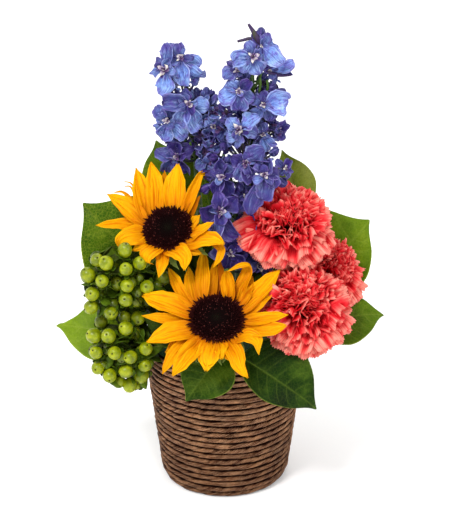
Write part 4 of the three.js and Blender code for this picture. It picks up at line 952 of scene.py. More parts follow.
# ---------------------------------------------------------------- carnations
# Skirt petals: turn (degrees) and how far each reaches; rows of petals further in: count, polar angle from and to,
# half width, length of the spread part, height of the ruffles and paleness, as shares of the radius.
CARNATIONS = [
    dict(name="carnation_top", c=[41.8, -12, 197.3], n=[0.1, -0.52, 0.85], r=32, foot=[16, -3], bend=[[29, 3, 136]], seed=31,
         skirt=[(8, 0.98), (42, 0.96), (76, 1.04), (104, 1.1), (140, 0.92), (174, 1.14), (203, 1.04), (238, 1.14), (256, 1.02), (296, 1.1), (326, 1.08)],
         fans=[(198, 1.16, 0.42), (235, 1.15, 0.46), (304, 1.15, 0.5)], gap=36),
    dict(name="carnation_low", c=[55.2, -39, 143.2], n=[0.26, -0.62, 0.74], r=33, foot=[24, -22], bend=[], seed=32, lift=(-2.0, 5.0), shift=(-1.2, 0, 3.2),
         skirt=[(2, 0.98), (36, 0.92), (70, 0.96), (104, 1.02), (140, 1.0), (176, 1.04), (214, 1.06), (248, 1.06), (282, 1.0), (318, 1.07)],
         fans=[(236, 1.06, 0.38), (326, 1.04, 0.38)], gap=0),
    dict(name="carnation_right", c=[72.4, 14, 152.6], n=[0.5, -0.3, 0.81], r=30, foot=[34, 12], bend=[], seed=33, shift=(-2.6, 0, -0.2),
         skirt=[(0, 1.02), (38, 1.08), (76, 1.14), (112, 1.14), (150, 1.06), (186, 1.06), (222, 1.14), (258, 1.14), (292, 1.12), (328, 1.06)],
         fans=[(276, 1.12, 0.38), (310, 1.1, 0.4)], gap=0),
]
PETAL_ROWS = [(11, 70, 84, 0.43, 0.60, 0.062, 0.60), (12, 50, 66, 0.37, 0.54, 0.085, 0.44), (15, 30, 46, 0.29, 0.46, 0.115, 0.32), (18, 14, 32, 0.24, 0.40, 0.135, 0.24), (18, 0, 17, 0.20, 0.34, 0.15, 0.20)]


def carnation_petal(b, f, R, low, polar, th, reach, half, limb, ruffle, pale, rng, lift=(0, 0), droop=None):
    """One petal: a narrow claw that rises from the cup, and a ruffled, toothed fan that leans outward over the ones below."""
    nv, nu = 13, 41
    t = (1 - (1 - np.linspace(0, 1, nv)) ** 1.3)[:, None]
    u = np.linspace(-1, 1, nu)[None, :]
    deg = math.degrees(polar)
    turn = math.radians(deg + np.interp(deg, [0, 20, 45, 70, 100], [6, 14, 26, 24, 10]) + rng.uniform(-15, 15))
    if droop is not None:
        turn = math.radians(droop)
    out = V3(math.cos(th), math.sin(th), 0)
    # petals near the middle stand at any angle to their neighbours
    yaw = rng.uniform(-1, 1) * np.interp(deg, [0, 40, 75, 100], [1.4, 0.85, 0.3, 0.12])
    round_it = V3(-math.sin(th), math.cos(th), 0)
    side = round_it * math.cos(yaw) + np.cross(out * math.sin(turn) + V3(0, 0, math.cos(turn)), round_it) * math.sin(yaw)
    inside = float(smooth((78 - deg) / 45))
    tip = out * reach * math.sin(polar) + V3(lift[0] * inside, lift[1] * inside, reach * 0.68 * math.cos(polar) - 0.04 * R + rng.uniform(-0.05, 0.05) * R * inside)
    knee = tip - (out * math.sin(turn) + V3(0, 0, math.cos(turn))) * limb * R
    start = out * R * 0.06 + V3(0, 0, low + 1)
    k1 = start * 0.3 + knee * 0.7
    path = (1 - t) ** 3 * start + 3 * (1 - t) ** 2 * t * k1 + 3 * (1 - t) * t ** 2 * knee + t ** 3 * tip
    tan = unit(np.gradient(path, axis=0))
    nor = unit(np.cross(tan, side))
    w = half * R * (0.1 + 0.9 * smooth((t - 0.12) / 0.72))
    edge = smooth((t - 0.38) / 0.62)
    ph = rng.uniform(0, 6.28, 7)
    a1, a2, a3, a4 = rng.uniform(2.0, 4.0), rng.uniform(6.5, 9.5), rng.uniform(13, 18), rng.uniform(20, 25)
    small = 0.66 * edge * np.sin(a2 * u + ph[1] + 1.6 * t) + 0.46 * edge ** 1.4 * np.sin(a3 * u + ph[2] + 2.4 * t) + 0.22 * edge ** 2 * np.sin(a4 * u + ph[4])
    rise = ruffle * R * edge * (0.8 * np.sin(a1 * u + ph[0]) + small)
    rise = rise + 0.035 * R * edge * crinkle(rng, 6, 0.3, 0.9)(t * R * 1.1, u * w)
    rise = rise + R * rng.uniform(-0.1, 0.12) * u ** 2 * edge + R * rng.uniform(-0.05, 0.05) * u * edge
    zig = np.where(np.arange(nu) % 2, 1.0, -1.0)[None, :]
    teeth = R * (0.017 * rng.uniform(0.6, 1.3) * edge ** 7 * zig + 0.03 * edge ** 3 * np.sin(9.5 * u + ph[3]) + 0.035 * edge ** 2 * np.sin(4.2 * u + ph[5]))
    arc = teeth - 0.3 * w * u ** 2 * edge
    p = path.reshape(nv, 1, 3) + side * (u * w)[..., None] + nor.reshape(nv, 1, 3) * rise[..., None] + tan.reshape(nv, 1, 3) * arc[..., None]
    c = np.zeros((nv, nu, 4))
    c[..., 0] = np.clip(t + 0.0 * u, 0, 1)
    c[..., 1] = 0.5 + 0.5 * u
    c[..., 2] = rng.uniform()
    # paler on the ridges of the ruffles and towards the fan, darker in the folds and towards the claw: painted
    # highlight on the ridges and painted shade in the folds and deep in the flower
    c[..., 3] = np.clip(pale * (0.3 + 0.7 * smooth((t - 0.5) / 0.45)) + 0.3 * small + rng.uniform(-0.08, 0.1), 0, 1)
    b.sheet(f.at(p), c, 0.3, taper=0.6)


def carnation(d):
    f = Frame(d["c"], d["n"])
    R = d["r"]
    rng = np.random.default_rng(d["seed"])
    low = -0.6 * R
    b = Build()
    stem_side, f = f, Frame(np.array(d["c"]) + V3(*d.get("shift", (0, 0, 0))), d["n"])
    for deg, reach in d["skirt"]:
        carnation_petal(b, f, R, low, math.radians(rng.uniform(90, 104)), math.radians(deg), R * reach * 0.97, 0.46 * rng.uniform(0.9, 1.15), 0.64, 0.055, 0.8, rng)
    # broad petals that lie over the front, and the gap in the rows behind them
    own = np.random.default_rng(d["seed"] + 100)
    for deg, reach, half in d["fans"]:
        carnation_petal(b, f, R, low, math.radians(own.uniform(80, 86)), math.radians(deg), R * reach, half, 0.74, 0.1, 0.66, own, droop=own.uniform(106, 114))
    for count, lo, hi, half, limb, ruffle, pale in PETAL_ROWS:
        first = rng.uniform(0, 6.28)
        for i in range(count):
            th = first + 2 * math.pi * i / count + rng.uniform(-0.2, 0.2)
            covered = lo >= 50 and any(abs((math.degrees(th) - q[0] + 180) % 360 - 180) < max(d["gap"], 28 if lo > 60 else 0) * q[2] for q in d["fans"])
            carnation_petal(Build() if covered else b, f, R, low, math.radians(rng.uniform(lo, hi)), th, R * rng.uniform(0.95, 1.05), half * rng.uniform(0.85, 1.15), limb * rng.uniform(0.9, 1.1), ruffle * rng.uniform(0.8, 1.25), pale, rng, d.get("lift", (0, 0)))
    # a short column that the petals' claws spring from
    b.lathe(stem_side, [[0, low + 0.3], [4.6, low + 0.3], [5.6, low + 5], [4.2, low + 12], [0, low + 15]], (0, 0.5, 0.2, 0), 24)
    piece(d["name"] + "_head", b, [PETAL], "carnation_petal", d["name"] + "_petals")
    f = stem_side
    b = Build()
    prof = [[0, low - 21], [3.0, low - 21], [4.4, low - 19], [5.4, low - 14], [6.3, low - 8], [6.9, low - 3], [7.3, low + 0.2], [6.5, low - 0.6], [0, low - 0.4]]
    b.lathe(f, prof, (0, 0, 0, 0.25), 30, shape=lambda r, z, a: (r * (1 + 0.03 * np.cos(5 * a)), z))
    for i in range(5):
        a = 2 * math.pi * i / 5
        path = catmull([(6.6 * math.cos(a), 6.6 * math.sin(a), low - 4), (7.4 * math.cos(a), 7.4 * math.sin(a), low), (9.4 * math.cos(a), 9.4 * math.sin(a), low + 4.6)], 9)
        t9 = np.linspace(0, 1, 9)
        blade(b, f.at(path), f.dir(V3(-math.sin(a), math.cos(a), 0)), np.maximum(4.0 * (1 - t9 ** 1.7), 0.1), (0.5, 0.3), nu=7, cup=0.15, thick=0.5)
    for i in range(4):
        a = 2 * math.pi * (i + 0.5) / 4
        path = catmull([(3.4 * math.cos(a), 3.4 * math.sin(a), low - 21), (5.2 * math.cos(a), 5.2 * math.sin(a), low - 17.5), (6.0 * math.cos(a), 6.0 * math.sin(a), low - 13.5)], 8)
        t8 = np.linspace(0, 1, 8)
        blade(b, f.at(path), f.dir(V3(-math.sin(a), math.cos(a), 0)), np.maximum(2.8 * (1 - t8 ** 1.8), 0.1), (0.5, 0.5), nu=7, cup=0.1, thick=0.5)
    piece(d["name"] + "_cup", b, [STEM], "green_stem", d["name"] + "_calyx")
    b = Build()
    end = f.at(V3(0, 0, low - 21.3))
    pts = foot(*d["foot"]) + d["bend"] + [f.at(V3(0, 0, low - 31)).tolist(), end.tolist()]
    path = catmull(pts, 50, 0.01)
    s = np.linspace(0, 1, 50)
    node = np.exp(-((s - 0.55) / 0.03) ** 2) + np.exp(-((s - 0.25) / 0.03) ** 2)
    b.tube(path, 2.2 + 0.7 * node, (0, 0, 0, 0.15), 14)
    k = 27
    for sgn in (-1, 1):
        base = path[k]
        tip = base + V3(sgn * 9, -3, 24)
        leafp = catmull([base, base + V3(sgn * 3.5, -0.5, 9), base + V3(sgn * 7, -1.5, 17), tip], 12)
        t12 = np.linspace(0, 1, 12)
        blade(b, leafp, V3(0, 1, 0), np.maximum(1.9 * (1 - t12 ** 1.6), 0.1), (0.5, 0.4), nu=5, cup=0.5, thick=0.5)
    piece(d["name"] + "_stalk", b, [STEM], "green_stem", d["name"] + "_stem")


for d in CARNATIONS:
    carnation(d)

# ---------------------------------------------------------------- delphiniums
# Florets: name or None, place, the way it faces, size of the pale centre, and the sepals: tip, half width, how sky-blue it is.
FLORETS = {
    "delphinium_left": [
        ('1', [-40.5, 5.0, 304.6], [-0.29, -0.87, 0.40], 1.5, [(-40.0, 6.0, 323.4, 5.2, 0.4), (-50.8, 8.0, 301.4, 5.6, 0.4), (-43.6, 3.0, 287.5, 6.4, 0.95), (-30.5, 6.0, 298.6, 4.6, 0.6), (-45.5, 8.0, 312.5, 3.6, 0.3)]),
        ('2', [-29.7, 7.0, 312.4], [-0.03, -0.86, 0.51], 1.0, [(-31.6, 8.0, 322.7, 5.4, 0.2), (-16.5, 9.0, 306.2, 5.0, 0.9), (-13.5, 11.0, 298.0, 4.4, 0.95), (-21.0, 10.0, 300.0, 3.4, 0.5), (-28.4, 5.0, 293.9, 7.2, 0.95), (-37.9, 11.0, 309.7, 3.6, 0.5)]),
        ('3', [-39.0, 8.0, 266.9], [-0.34, -0.85, 0.40], 0.9, [(-47.3, 10.0, 270.6, 4.6, 0.85), (-41.8, 6.0, 253.1, 6, 0.45), (-26.8, 7.0, 254.9, 6, 0.75), (-34.8, 10.0, 278.5, 5.6, 0.12), (-46.5, 11.0, 276.7, 4.6, 0.25)]),
        ('4', [-24.4, 3.0, 281.0], [0.01, -0.92, 0.38], 1.0, [(-41.4, 4.0, 281.4, 6.4, 0.12), (-27.1, 6.0, 291.4, 5.4, 0.12), (-10.9, 4.0, 278.5, 6.4, 0.75), (-17.7, 1.0, 263.0, 7.2, 0.7), (-31.4, 3.0, 266.6, 6, 0.55)]),
        ('5', [-33.1, 7.0, 240.9], [-0.28, -0.87, 0.39], 0.9, [(-47.5, 9.0, 245.3, 6, 0.08), (-35.1, 10.0, 250.8, 6, 0.1), (-22.0, 9.0, 246.0, 6, 0.15), (-26.2, 6.0, 229.5, 6, 0.1), (-40.1, 6.0, 230.2, 6, 0.06)]),
        ('6', [-13.1, 9.0, 239.4], [0.20, -0.88, 0.42], 0.7, [(-19.3, 11.0, 247.5, 4.6, 0.2), (-6.2, 12.0, 246.4, 4.6, 0.3), (-11.8, 8.0, 225.7, 5.4, 0.6), (-20.8, 10.0, 232.3, 4.6, 0.3), (-4.8, 10.0, 233.8, 4.6, 0.15)]),
        (None, [-8.2, 4.0, 264.0], [0.27, -0.89, 0.37], 0.8, [(-11.6, 6.0, 270.5, 4.6, 0.7), (-13.0, 6.0, 258.9, 4.6, 0.35), (-8.2, 3.0, 255.6, 4.8, 0.15), (0.0, 3.0, 257.1, 4.6, 0.1), (0.7, 5.0, 268.0, 4.2, 0.6)]),
    ],
    "delphinium_right": [
        ('1', [18.6, -9.0, 318.4], [0.03, -0.91, 0.41], 1.2, [(5.3, -8.0, 314.6, 5.8, 0.8), (12.0, -10.0, 307.6, 5.8, 0.5), (23.4, -10.0, 306.9, 6.6, 0.45), (13.3, -7.0, 327.5, 4.6, 0.15), (24.7, -6.0, 322.3, 4, 0.2)]),
        ('2', [24.0, -2.0, 323.8], [0.26, -0.83, 0.50], 0.35, [(38.2, -6.0, 312.0, 7.6, 1.0), (35.6, 0.0, 322.4, 3.4, 0.9), (27.4, 0.0, 332.2, 4.2, 0.3), (18.0, 1.0, 328.4, 3.2, 0.1), (31.2, 2.0, 327.5, 3.2, 0.6)]),
        ('3', [8.7, -3.0, 306.6], [-0.31, -0.83, 0.46], 0.8, [(2.6, -2.0, 309.6, 3.8, 0.2), (-0.6, -3.0, 301.0, 5.2, 0.5), (10.7, 0.0, 314.1, 4, 0.08), (15.5, -2.0, 300.6, 4.4, 0.12), (7.4, -4.0, 297.0, 4.4, 0.3)]),
        ('4', [9.4, -8.0, 293.5], [-0.23, -0.88, 0.41], 1.1, [(-4.0, -8.0, 292.0, 6.6, 0.9), (10.1, -10.0, 281.4, 6, 0.35), (20.2, -7.0, 288.2, 5, 0.2), (2.0, -6.0, 301.3, 4.6, 0.3), (16.8, -6.0, 300.6, 4.4, 0.12)]),
        ('5', [25.7, -4.0, 282.8], [0.25, -0.85, 0.46], 0.9, [(43.2, -4.0, 286.5, 8.6, 1.0), (16.9, -3.0, 288.2, 4.6, 0.08), (19.0, -4.0, 272.8, 5, 0.15), (30.5, -5.0, 271.7, 5, 0.2), (25.0, -1.0, 291.7, 4.4, 0.08)]),
        ('6', [9.5, -10.0, 267.1], [-0.21, -0.90, 0.39], 1.5, [(22.9, -9.0, 276.7, 6.4, 0.9), (0.7, -10.0, 262.0, 5, 0.6), (8.8, -12.0, 254.8, 5.6, 0.4), (21.6, -10.0, 264.2, 5, 0.6), (2.7, -8.0, 274.9, 4.8, 0.5)]),
        (None, [29.7, 4.0, 304.2], [0.45, -0.70, 0.55], 0.3, [(47.1, 4.0, 311.3, 4.4, 1.0), (45.2, 4.0, 301.4, 2.2, 0.2), (35.2, 6.0, 294.3, 4, 0.08), (22.3, 6.0, 297.9, 2.4, 0.06), (33.7, 7.0, 311.0, 3, 0.6)]),
        (None, [36.3, 8.0, 260.3], [0.53, -0.66, 0.53], 0.7, [(30.8, 10.0, 266.2, 3.8, 0.04), (42.5, 10.0, 264.7, 3.8, 0.06), (41.2, 7.0, 254.1, 3.8, 0.08), (32.9, 7.0, 253.4, 3.8, 0.04), (28.1, 9.0, 259.2, 3.4, 0.04)]),
        (None, [25.1, -4.0, 261.2], [0.23, -0.85, 0.47], 0.6, [(19.1, -5.0, 252.9, 4.6, 0.45), (29.3, -6.0, 250.3, 5.4, 0.6), (35.4, -4.0, 254.7, 4.6, 0.5), (24.4, -2.0, 269.1, 3.4, 0.25), (17.0, -3.0, 262.3, 3.8, 0.3)]),
        (None, [14.3, 2.0, 270.6], [-0.25, -0.74, 0.63], 0.5, [(6.1, 4.0, 274.9, 4.4, 0.1), (21.1, 4.0, 276.3, 4.4, 0.06), (22.5, 2.0, 265.5, 4.4, 0.15), (10.2, 2.0, 262.6, 4.2, 0.1), (15.0, 5.0, 278.9, 3.8, 0.1)]),
    ],
    "delphinium_front": [
        ('1', [14.2, -22.0, 247.8], [-0.01, -0.92, 0.39], 1.3, [(26.2, -21.0, 257.5, 7, 0.5), (4.0, -21.0, 251.8, 5.2, 0.3), (8.1, -24.0, 236.3, 5.6, 0.65), (30.4, -21.0, 248.9, 5.8, 0.2), (18.2, -24.0, 235.6, 5.2, 0.3)]),
        ('2', [40.8, -14.0, 240.3], [0.47, -0.79, 0.40], 0.8, [(35.3, -13.0, 247.2, 2.6, 0.1), (44.1, -13.0, 246.5, 2.8, 0.3), (46.2, -14.0, 238.9, 2.8, 0.25), (42.2, -15.0, 233.4, 2.8, 0.3), (35.4, -14.0, 236.7, 3, 0.15)]),
        ('3', [-1.4, -18.0, 236.1], [-0.33, -0.85, 0.41], 1.0, [(-10.2, -17.0, 240.0, 5, 0.3), (8.1, -17.0, 245.1, 5.8, 0.45), (-7.5, -19.0, 224.0, 5.2, 0.2), (4.8, -19.0, 223.3, 5.4, 0.25), (-2.7, -16.0, 248.4, 4.6, 0.15)]),
        ('4', [26.2, -28.0, 241.5], [0.21, -0.91, 0.35], 1.1, [(27.5, -26.0, 250.1, 6.4, 0.05), (17.0, -28.0, 212.3, 6.4, 0.15), (25.0, -31.0, 225.3, 6.8, 0.35), (33.7, -28.0, 232.1, 4.2, 0.4), (36.4, -26.0, 242.2, 4.8, 0.1)]),
        ('5', [-2.7, -29.0, 214.9], [-0.19, -0.92, 0.36], 1.3, [(-16.9, -28.0, 216.7, 9, 0.08), (-4.7, -27.0, 228.8, 5.4, 0.12), (8.1, -28.0, 224.8, 6.4, 0.1), (9.5, -31.0, 198.1, 6.6, 0.28), (-8.2, -31.0, 196.6, 6.2, 0.15)]),
        ('6', [3.4, -24.0, 181.6], [-0.06, -0.91, 0.40], 1.1, [(6.2, -23.0, 193.1, 7, 0.0), (-6.9, -23.0, 185.6, 5.4, 0.06), (-2.1, -25.0, 171.5, 5.6, 0.1), (12.4, -25.0, 172.2, 5.6, 0.12), (15.1, -23.0, 182.6, 5.4, 0.06)]),
        (None, [22.8, -19.0, 170.3], [0.40, -0.82, 0.42], 1.2, [(14.5, -18.0, 180.4, 6.2, 0.1), (31.8, -18.0, 175.9, 5.6, 0.2), (21.5, -20.0, 158.5, 5.6, 0.15), (12.5, -19.0, 167.2, 5, 0.1), (33.2, -19.0, 164.9, 5, 0.1)]),
        (None, [14.5, -14.0, 195.2], [0.33, -0.79, 0.51], 0.6, [(7.6, -13.0, 203.0, 5.6, 0.0), (21.3, -13.0, 203.0, 5.6, 0.02), (22.8, -14.0, 189.2, 5.4, 0.02), (9.0, -14.0, 186.2, 5.4, 0.0), (15.1, -12.0, 207.8, 5, 0.0)]),
        (None, [13.7, -16.0, 220.6], [0.17, -0.86, 0.49], 0.6, [(7.5, -15.0, 227.5, 4.8, 0.05), (20.5, -15.0, 226.8, 4.8, 0.04), (19.8, -16.0, 213.2, 4.8, 0.02), (8.9, -16.0, 212.4, 4.8, 0.04)]),
    ],
}
# Florets at the back, which stay with their stem: place, the way it faces, radius, how sky-blue they are.
BACK_FLORETS = {
    "delphinium_left": [([-25, 34, 292], [0.3, 0.9, 0.2], 9, 0.6), ([-22, 38, 268], [-0.2, 0.95, 0.1], 13, 0.35), ([-37, 32, 304], [-0.7, 0.7, 0.3], 12, 0.6), ([-28, 36, 240], [-0.3, 0.9, 0.1], 12, 0.15)],
    "delphinium_right": [([20, 21, 308], [0.1, 0.95, 0.3], 12.5, 0.7), ([9, 20, 280], [-0.5, 0.85, 0.1], 9.5, 0.4), ([29, 20, 273], [0.6, 0.8, 0.1], 10.5, 0.3), ([16, 22, 252], [0.0, 0.95, 0.1], 12, 0.2)],
    "delphinium_front": [],
}
# Buds: place, radius, the way the tip points, and the spikes' stems.
DELPHINIUMS = [
    dict(name="delphinium_left", foot=[-13, 14], route=[[-16.5, 18, 170], [-20.2, 20, 233.6], [-22.1, 20, 255.9], [-26.1, 19, 284], [-28.6, 17, 304]],
         buds=[([-12.9, 8.0, 287.1], 2.6, [0.1, -0.2, 1], 0.15), ([-19.1, 12.0, 285.7], 2.4, [-0.1, -0.2, 1], 0.1), ([-7.5, 8.0, 282.1], 2.6, [0.5, -0.2, 1], 0.3),
               ([-33.4, 12.0, 282.8], 2.2, [0, -0.3, 1], 0.05), ([-26.8, 12.0, 260.3], 3, [-0.4, -0.5, -0.4], 0.05), ([-17.9, 14.0, 252.2], 3, [0.3, -0.6, 0.2], 0.02),
               ([-9.6, 10.0, 246.4], 3, [0.5, -0.6, 0.1], 0.05), ([-11.7, 8.0, 257.4], 2.8, [0.6, -0.5, -0.3], 0.1), ([-22.8, 13.0, 246.7], 2.8, [-0.3, -0.7, 0.2], 0.0),
               ([-30.4, 12.0, 244.1], 2.8, [-0.6, -0.6, 0.1], 0.0), ([-15.2, 12.0, 242.7], 2.8, [0.1, -0.8, -0.2], 0.05), ([-39.7, 12.0, 277.8], 2.6, [-0.6, -0.5, 0.5], 0.05),
               ([-20.4, 10.0, 294.3], 2.4, [0.3, -0.5, 0.6], 0.3)], seed=41),
    dict(name="delphinium_right", foot=[7, 11], route=[[12, 8, 180], [17, 5, 235], [18.5, 4, 254.5], [18.3, 4, 294.3], [17.4, 4, 322]],
         buds=[([23.9, 3.0, 330.2], 3.0, [0.1, -0.2, 1], 0.1), ([19.8, 4.0, 327.6], 2.0, [-0.4, 0, 1], 0.0),
               ([30.5, 4.0, 292.1], 3.2, [0.5, -0.6, 0.4], 0.05), ([37.3, 4.0, 289.3], 2.8, [0.6, -0.5, 0.3], 0.1), ([18.3, 0.0, 282.1], 2.8, [-0.2, -0.8, 0.3], 0.05),
               ([5.4, 0.0, 279.9], 2.6, [-0.7, -0.5, 0.2], 0.05), ([0.7, -2.0, 271.3], 2.6, [-0.8, -0.4, 0.1], 0.1), ([30.6, 2.0, 275.6], 2.8, [0.5, -0.6, -0.3], 0.05),
               ([21.9, 0.0, 251.7], 2.6, [0.1, -0.8, -0.5], 0.1), ([29.4, 2.0, 255.3], 2.6, [0.5, -0.6, -0.5], 0.1), ([4.7, 0.0, 310.5], 2.4, [-0.6, -0.5, 0.3], 0.1),
               ([-2.0, 2.0, 278.5], 2.2, [-0.5, -0.2, 0.8], 0.0)], seed=42),
    dict(name="delphinium_front", blue=0.15, foot=[5, -12], route=[[5, -11, 160], [6.5, -9, 200], [12, -8, 228], [15, -7, 244]],
         buds=[([-7.5, -8.0, 246.0], 2.8, [-0.5, -0.7, 0.2], 0.0), ([-0.7, -6.0, 254.0], 2.8, [-0.3, -0.7, 0.4], 0.05), ([6.1, -6.0, 256.9], 2.6, [-0.1, -0.7, 0.6], 0.1),
               ([-8.9, -10.0, 235.1], 2.8, [-0.8, -0.4, 0.1], 0.05), ([-13.0, -14.0, 226.4], 2.8, [-0.8, -0.4, -0.2], 0.0), ([10.9, -14.0, 227.9], 3, [0, -0.9, -0.2], 0.05),
               ([2.0, -10.0, 245.3], 2.8, [-0.1, -0.8, 0.4], 0.15), ([33.3, -10.0, 251.1], 2.8, [0.5, -0.5, 0.6], 0.1), ([37.5, -14.0, 230.8], 3, [0.6, -0.6, -0.2], 0.1),
               ([29.5, -16.0, 208.0], 3, [0.4, -0.7, -0.5], 0.05), ([14.4, -14.0, 201.2], 3, [0, -0.9, -0.3], 0.0), ([-11.7, -18.0, 201.4], 3, [-0.5, -0.7, -0.4], 0.02),
               ([0.7, -16.0, 190.1], 3, [-0.1, -0.8, -0.4], 0.0), ([31.2, -8.0, 185.1], 3, [0.4, -0.7, -0.3], 0.0)], seed=43),
]


def sepal(b, centre, tip, half, hue, view, rng, small=False):
    """One petal-like sepal from a floret's middle to its tip: a narrow foot, a broad irregular end, folded, waved and crumpled."""
    centre, tip = np.array(centre, float), np.array(tip, float)
    d = tip - centre
    L = np.linalg.norm(d)
    d = d / L
    across = unit(np.cross(view, d))
    n, nu = (13, 11) if small else (21, 17)
    bulge = rng.uniform(-0.02, 0.24) * L
    sway = across * rng.uniform(-0.12, 0.12) * L
    path = even(catmull([centre + d * 0.05 * L - view * 0.3, centre + d * 0.36 * L + view * bulge * 0.8 + sway * 0.7, centre + d * 0.72 * L + view * bulge + sway, tip + view * rng.uniform(-0.14, 0.14) * L], 60), n)
    t = np.linspace(0, 1, n)
    lean = rng.uniform(-0.6, 0.6)
    side = across * math.cos(lean) + view * math.sin(lean)
    rag = wobble(rng, 4, 5, 14)
    w = 1.02 * half * (0.24 + 0.76 * smooth(t / 0.52)) * np.clip(1 - np.clip((t - 0.54) / 0.48, 0, 1) ** 2.2, 0, 1) ** 0.62 * (1 + 0.1 * rag(t))
    blade(b, path, side, np.maximum(w, 0.3), (rng.uniform(), float(np.clip(hue + rng.uniform(-0.14, 0.14), 0, 1))), nu=nu, cup=rng.uniform(-0.15, 0.36), cup_end=rng.uniform(-0.5, 0.6),
          groove=0.18, grooves=rng.choice([0.5, 1.0, 1.5]), twist=rng.uniform(-0.7, 0.7), edge=0.16, thick=0.32, rng=rng, wave=0.42, tip_teeth=0.9,
          fold=rng.choice([0.0, 0.2, 0.45, 0.75, -0.35]), crumple=min(0.075 * L, 1.1), fine=(0.35, 1.15))


def centre_and_stalk(b, f, size, root, rng, spur=11.0):
    """What a floret holds besides its sepals: the tuft of small pale petals, the spur behind, and the stalk to the stem."""
    for k in range(7):
        a = 2 * math.pi * k / 7 + rng.uniform(-0.5, 0.5)
        L = size * rng.uniform(0.55, 1.5)
        path = catmull([(0.1 * size * math.cos(a), 0.1 * size * math.sin(a), 0.3), (0.45 * L * math.cos(a), 0.45 * L * math.sin(a), 0.3 + 0.55 * L), (0.95 * L * math.cos(a), 0.95 * L * math.sin(a), 0.4 + 0.7 * L)], 7)
        t = np.linspace(0, 1, 7)
        blade(b, f.at(path), f.dir(V3(-math.sin(a), math.cos(a), 0)), np.maximum(0.34 * size * rng.uniform(0.6, 1.4) * (0.5 + 0.9 * t) * (1 - t ** 5) + 0.1, 0.1), (0, 0), nu=7, cup=rng.uniform(0.1, 0.8), thick=0.3, mat=1, rng=rng, wave=0.8, tip_teeth=0.7, twist=rng.uniform(-0.8, 0.8), crumple=0.3, fine=(0.8, 2.2))
        b.c[-1] = b.c[-1] * np.array([rng.choice([0.4, 0.75, 1.0, 1.0]), 1, 1, 1])
    for k in range(9):
        a = rng.uniform(0, 6.28)
        q = rng.uniform(0.1, 0.5) * size
        foot_at = V3(q * math.cos(a), q * math.sin(a), 0.2)
        b.tube(f.at(np.array([foot_at, foot_at * V3(1.25, 1.25, 1) + V3(0, 0, 0.5 * size), foot_at * V3(1.5, 1.5, 1) + V3(0, 0, rng.uniform(0.7, 1.1) * size)])), np.array([0.13, 0.11, 0.2]), (rng.uniform(0.1, 0.9), 0, 0, 0), 5, mat=1)
    b.ball(Frame(f.at(V3(0, 0, 0.2)), f.z), 0.42 * size, (0.05, 0, 0, 0), 7, 9, mat=1)
    sp = even(catmull([f.at(V3(0, 0.4, -0.2)), f.at(V3(0, 0.2 * spur, -0.3 * spur)), f.at(V3(0, 0.36 * spur, -0.7 * spur)), f.at(V3(0, 0.3 * spur, -1.1 * spur))], 30), 10)
    b.tube(sp, np.linspace(1.9, 0.6, 10), (0, 0, 0, 0.0), 8, mat=2)
    back = f.at(V3(0, 0, -0.8))
    root = np.asarray(root, float)
    mid = (back + root) / 2 + V3(0, 0, -1.8) - f.z * 1.5
    b.tube(catmull([back, back - f.z * 2.0, mid, root], 14), np.linspace(0.95, 0.75, 14), (0, 0, 0, 0.15 + 0.4 * rng.uniform()), 7, mat=2)


def floret(b, place, face, bee, sepals, root, rng, blue=1.0):
    f = Frame(place, face, rng.uniform(-0.5, 0.5))
    for x, y, z, half, hue in sepals:
        sepal(b, f.c, (x, y, z), half, hue * blue, f.z, rng)
    inner = np.mean([np.linalg.norm(np.array(q[:3]) - f.c) for q in sepals])
    for k in range(4):
        a = 2 * math.pi * (k + rng.uniform(-0.4, 0.4)) / 4
        L = inner * rng.uniform(0.36, 0.62)
        sepal(b, f.c, f.at(V3(L * math.cos(a), L * math.sin(a), L * rng.uniform(0.15, 0.6))), L * rng.uniform(0.3, 0.46), rng.uniform(0, 0.45), f.z, rng, True)
    centre_and_stalk(b, f, 2.7 * bee ** 0.8, root, rng)


def half_open(b, place, r, axis, hue, root, rng):
    """A floret seen from the side, half open: sepals swept forward from its neck, with its spur and stalk behind."""
    ax = unit(axis)
    q = np.array(place, float)
    fb = Frame(q, ax, rng.uniform(0, 1.2))
    neck = q - ax * 0.9 * r
    for k in range(5):
        a = 2 * math.pi * k / 5 + rng.uniform(-0.3, 0.3)
        o = fb.dir(V3(math.cos(a), math.sin(a), 0))
        sepal(b, neck + o * 0.15 * r, q + ax * rng.uniform(0.2, 1.2) * r + o * rng.uniform(0.6, 1.5) * r, r * rng.uniform(0.42, 0.66), float(np.clip(hue + rng.uniform(-0.05, 0.25), 0, 1)), o, rng, True)
    for k in range(3):
        a = rng.uniform(0, 6.28)
        path = catmull([q - ax * 0.3 * r, q + fb.dir(V3(math.cos(a), math.sin(a), 0)) * 0.3 * r + ax * 0.3 * r, q + fb.dir(V3(math.cos(a), math.sin(a), 0)) * 0.5 * r + ax * 0.7 * r], 7)
        t = np.linspace(0, 1, 7)
        blade(b, path, fb.dir(V3(-math.sin(a), math.cos(a), 0)), np.maximum(0.26 * r * (0.5 + t) * (1 - t ** 5), 0.1), (0, 0), nu=5, cup=0.4, thick=0.3, mat=1, rng=rng, wave=0.6)
        b.c[-1] = b.c[-1] * np.array([0.3, 1, 1, 1])
    o = fb.dir(V3(rng.uniform(-0.5, 0.5), rng.uniform(0.2, 1), 0))
    spur = even(catmull([neck + ax * 0.4 * r, neck - ax * 0.6 * r + o * 1.0, neck - ax * 1.3 * r + o * 3.0, neck - ax * 2.0 * r + o * 4.0], 30), 11)
    b.tube(spur, np.linspace(0.42 * r, 0.6, 11), (0, 0, 0, 0.0), 9, mat=2)
    b.tube(catmull([neck + ax * 0.3 * r, neck - ax * 2.0, (neck + root) / 2 + V3(0, 0, -2.0), root], 14), 0.8, (0, 0, 0, rng.uniform(0.0, 0.5)), 7, mat=2)


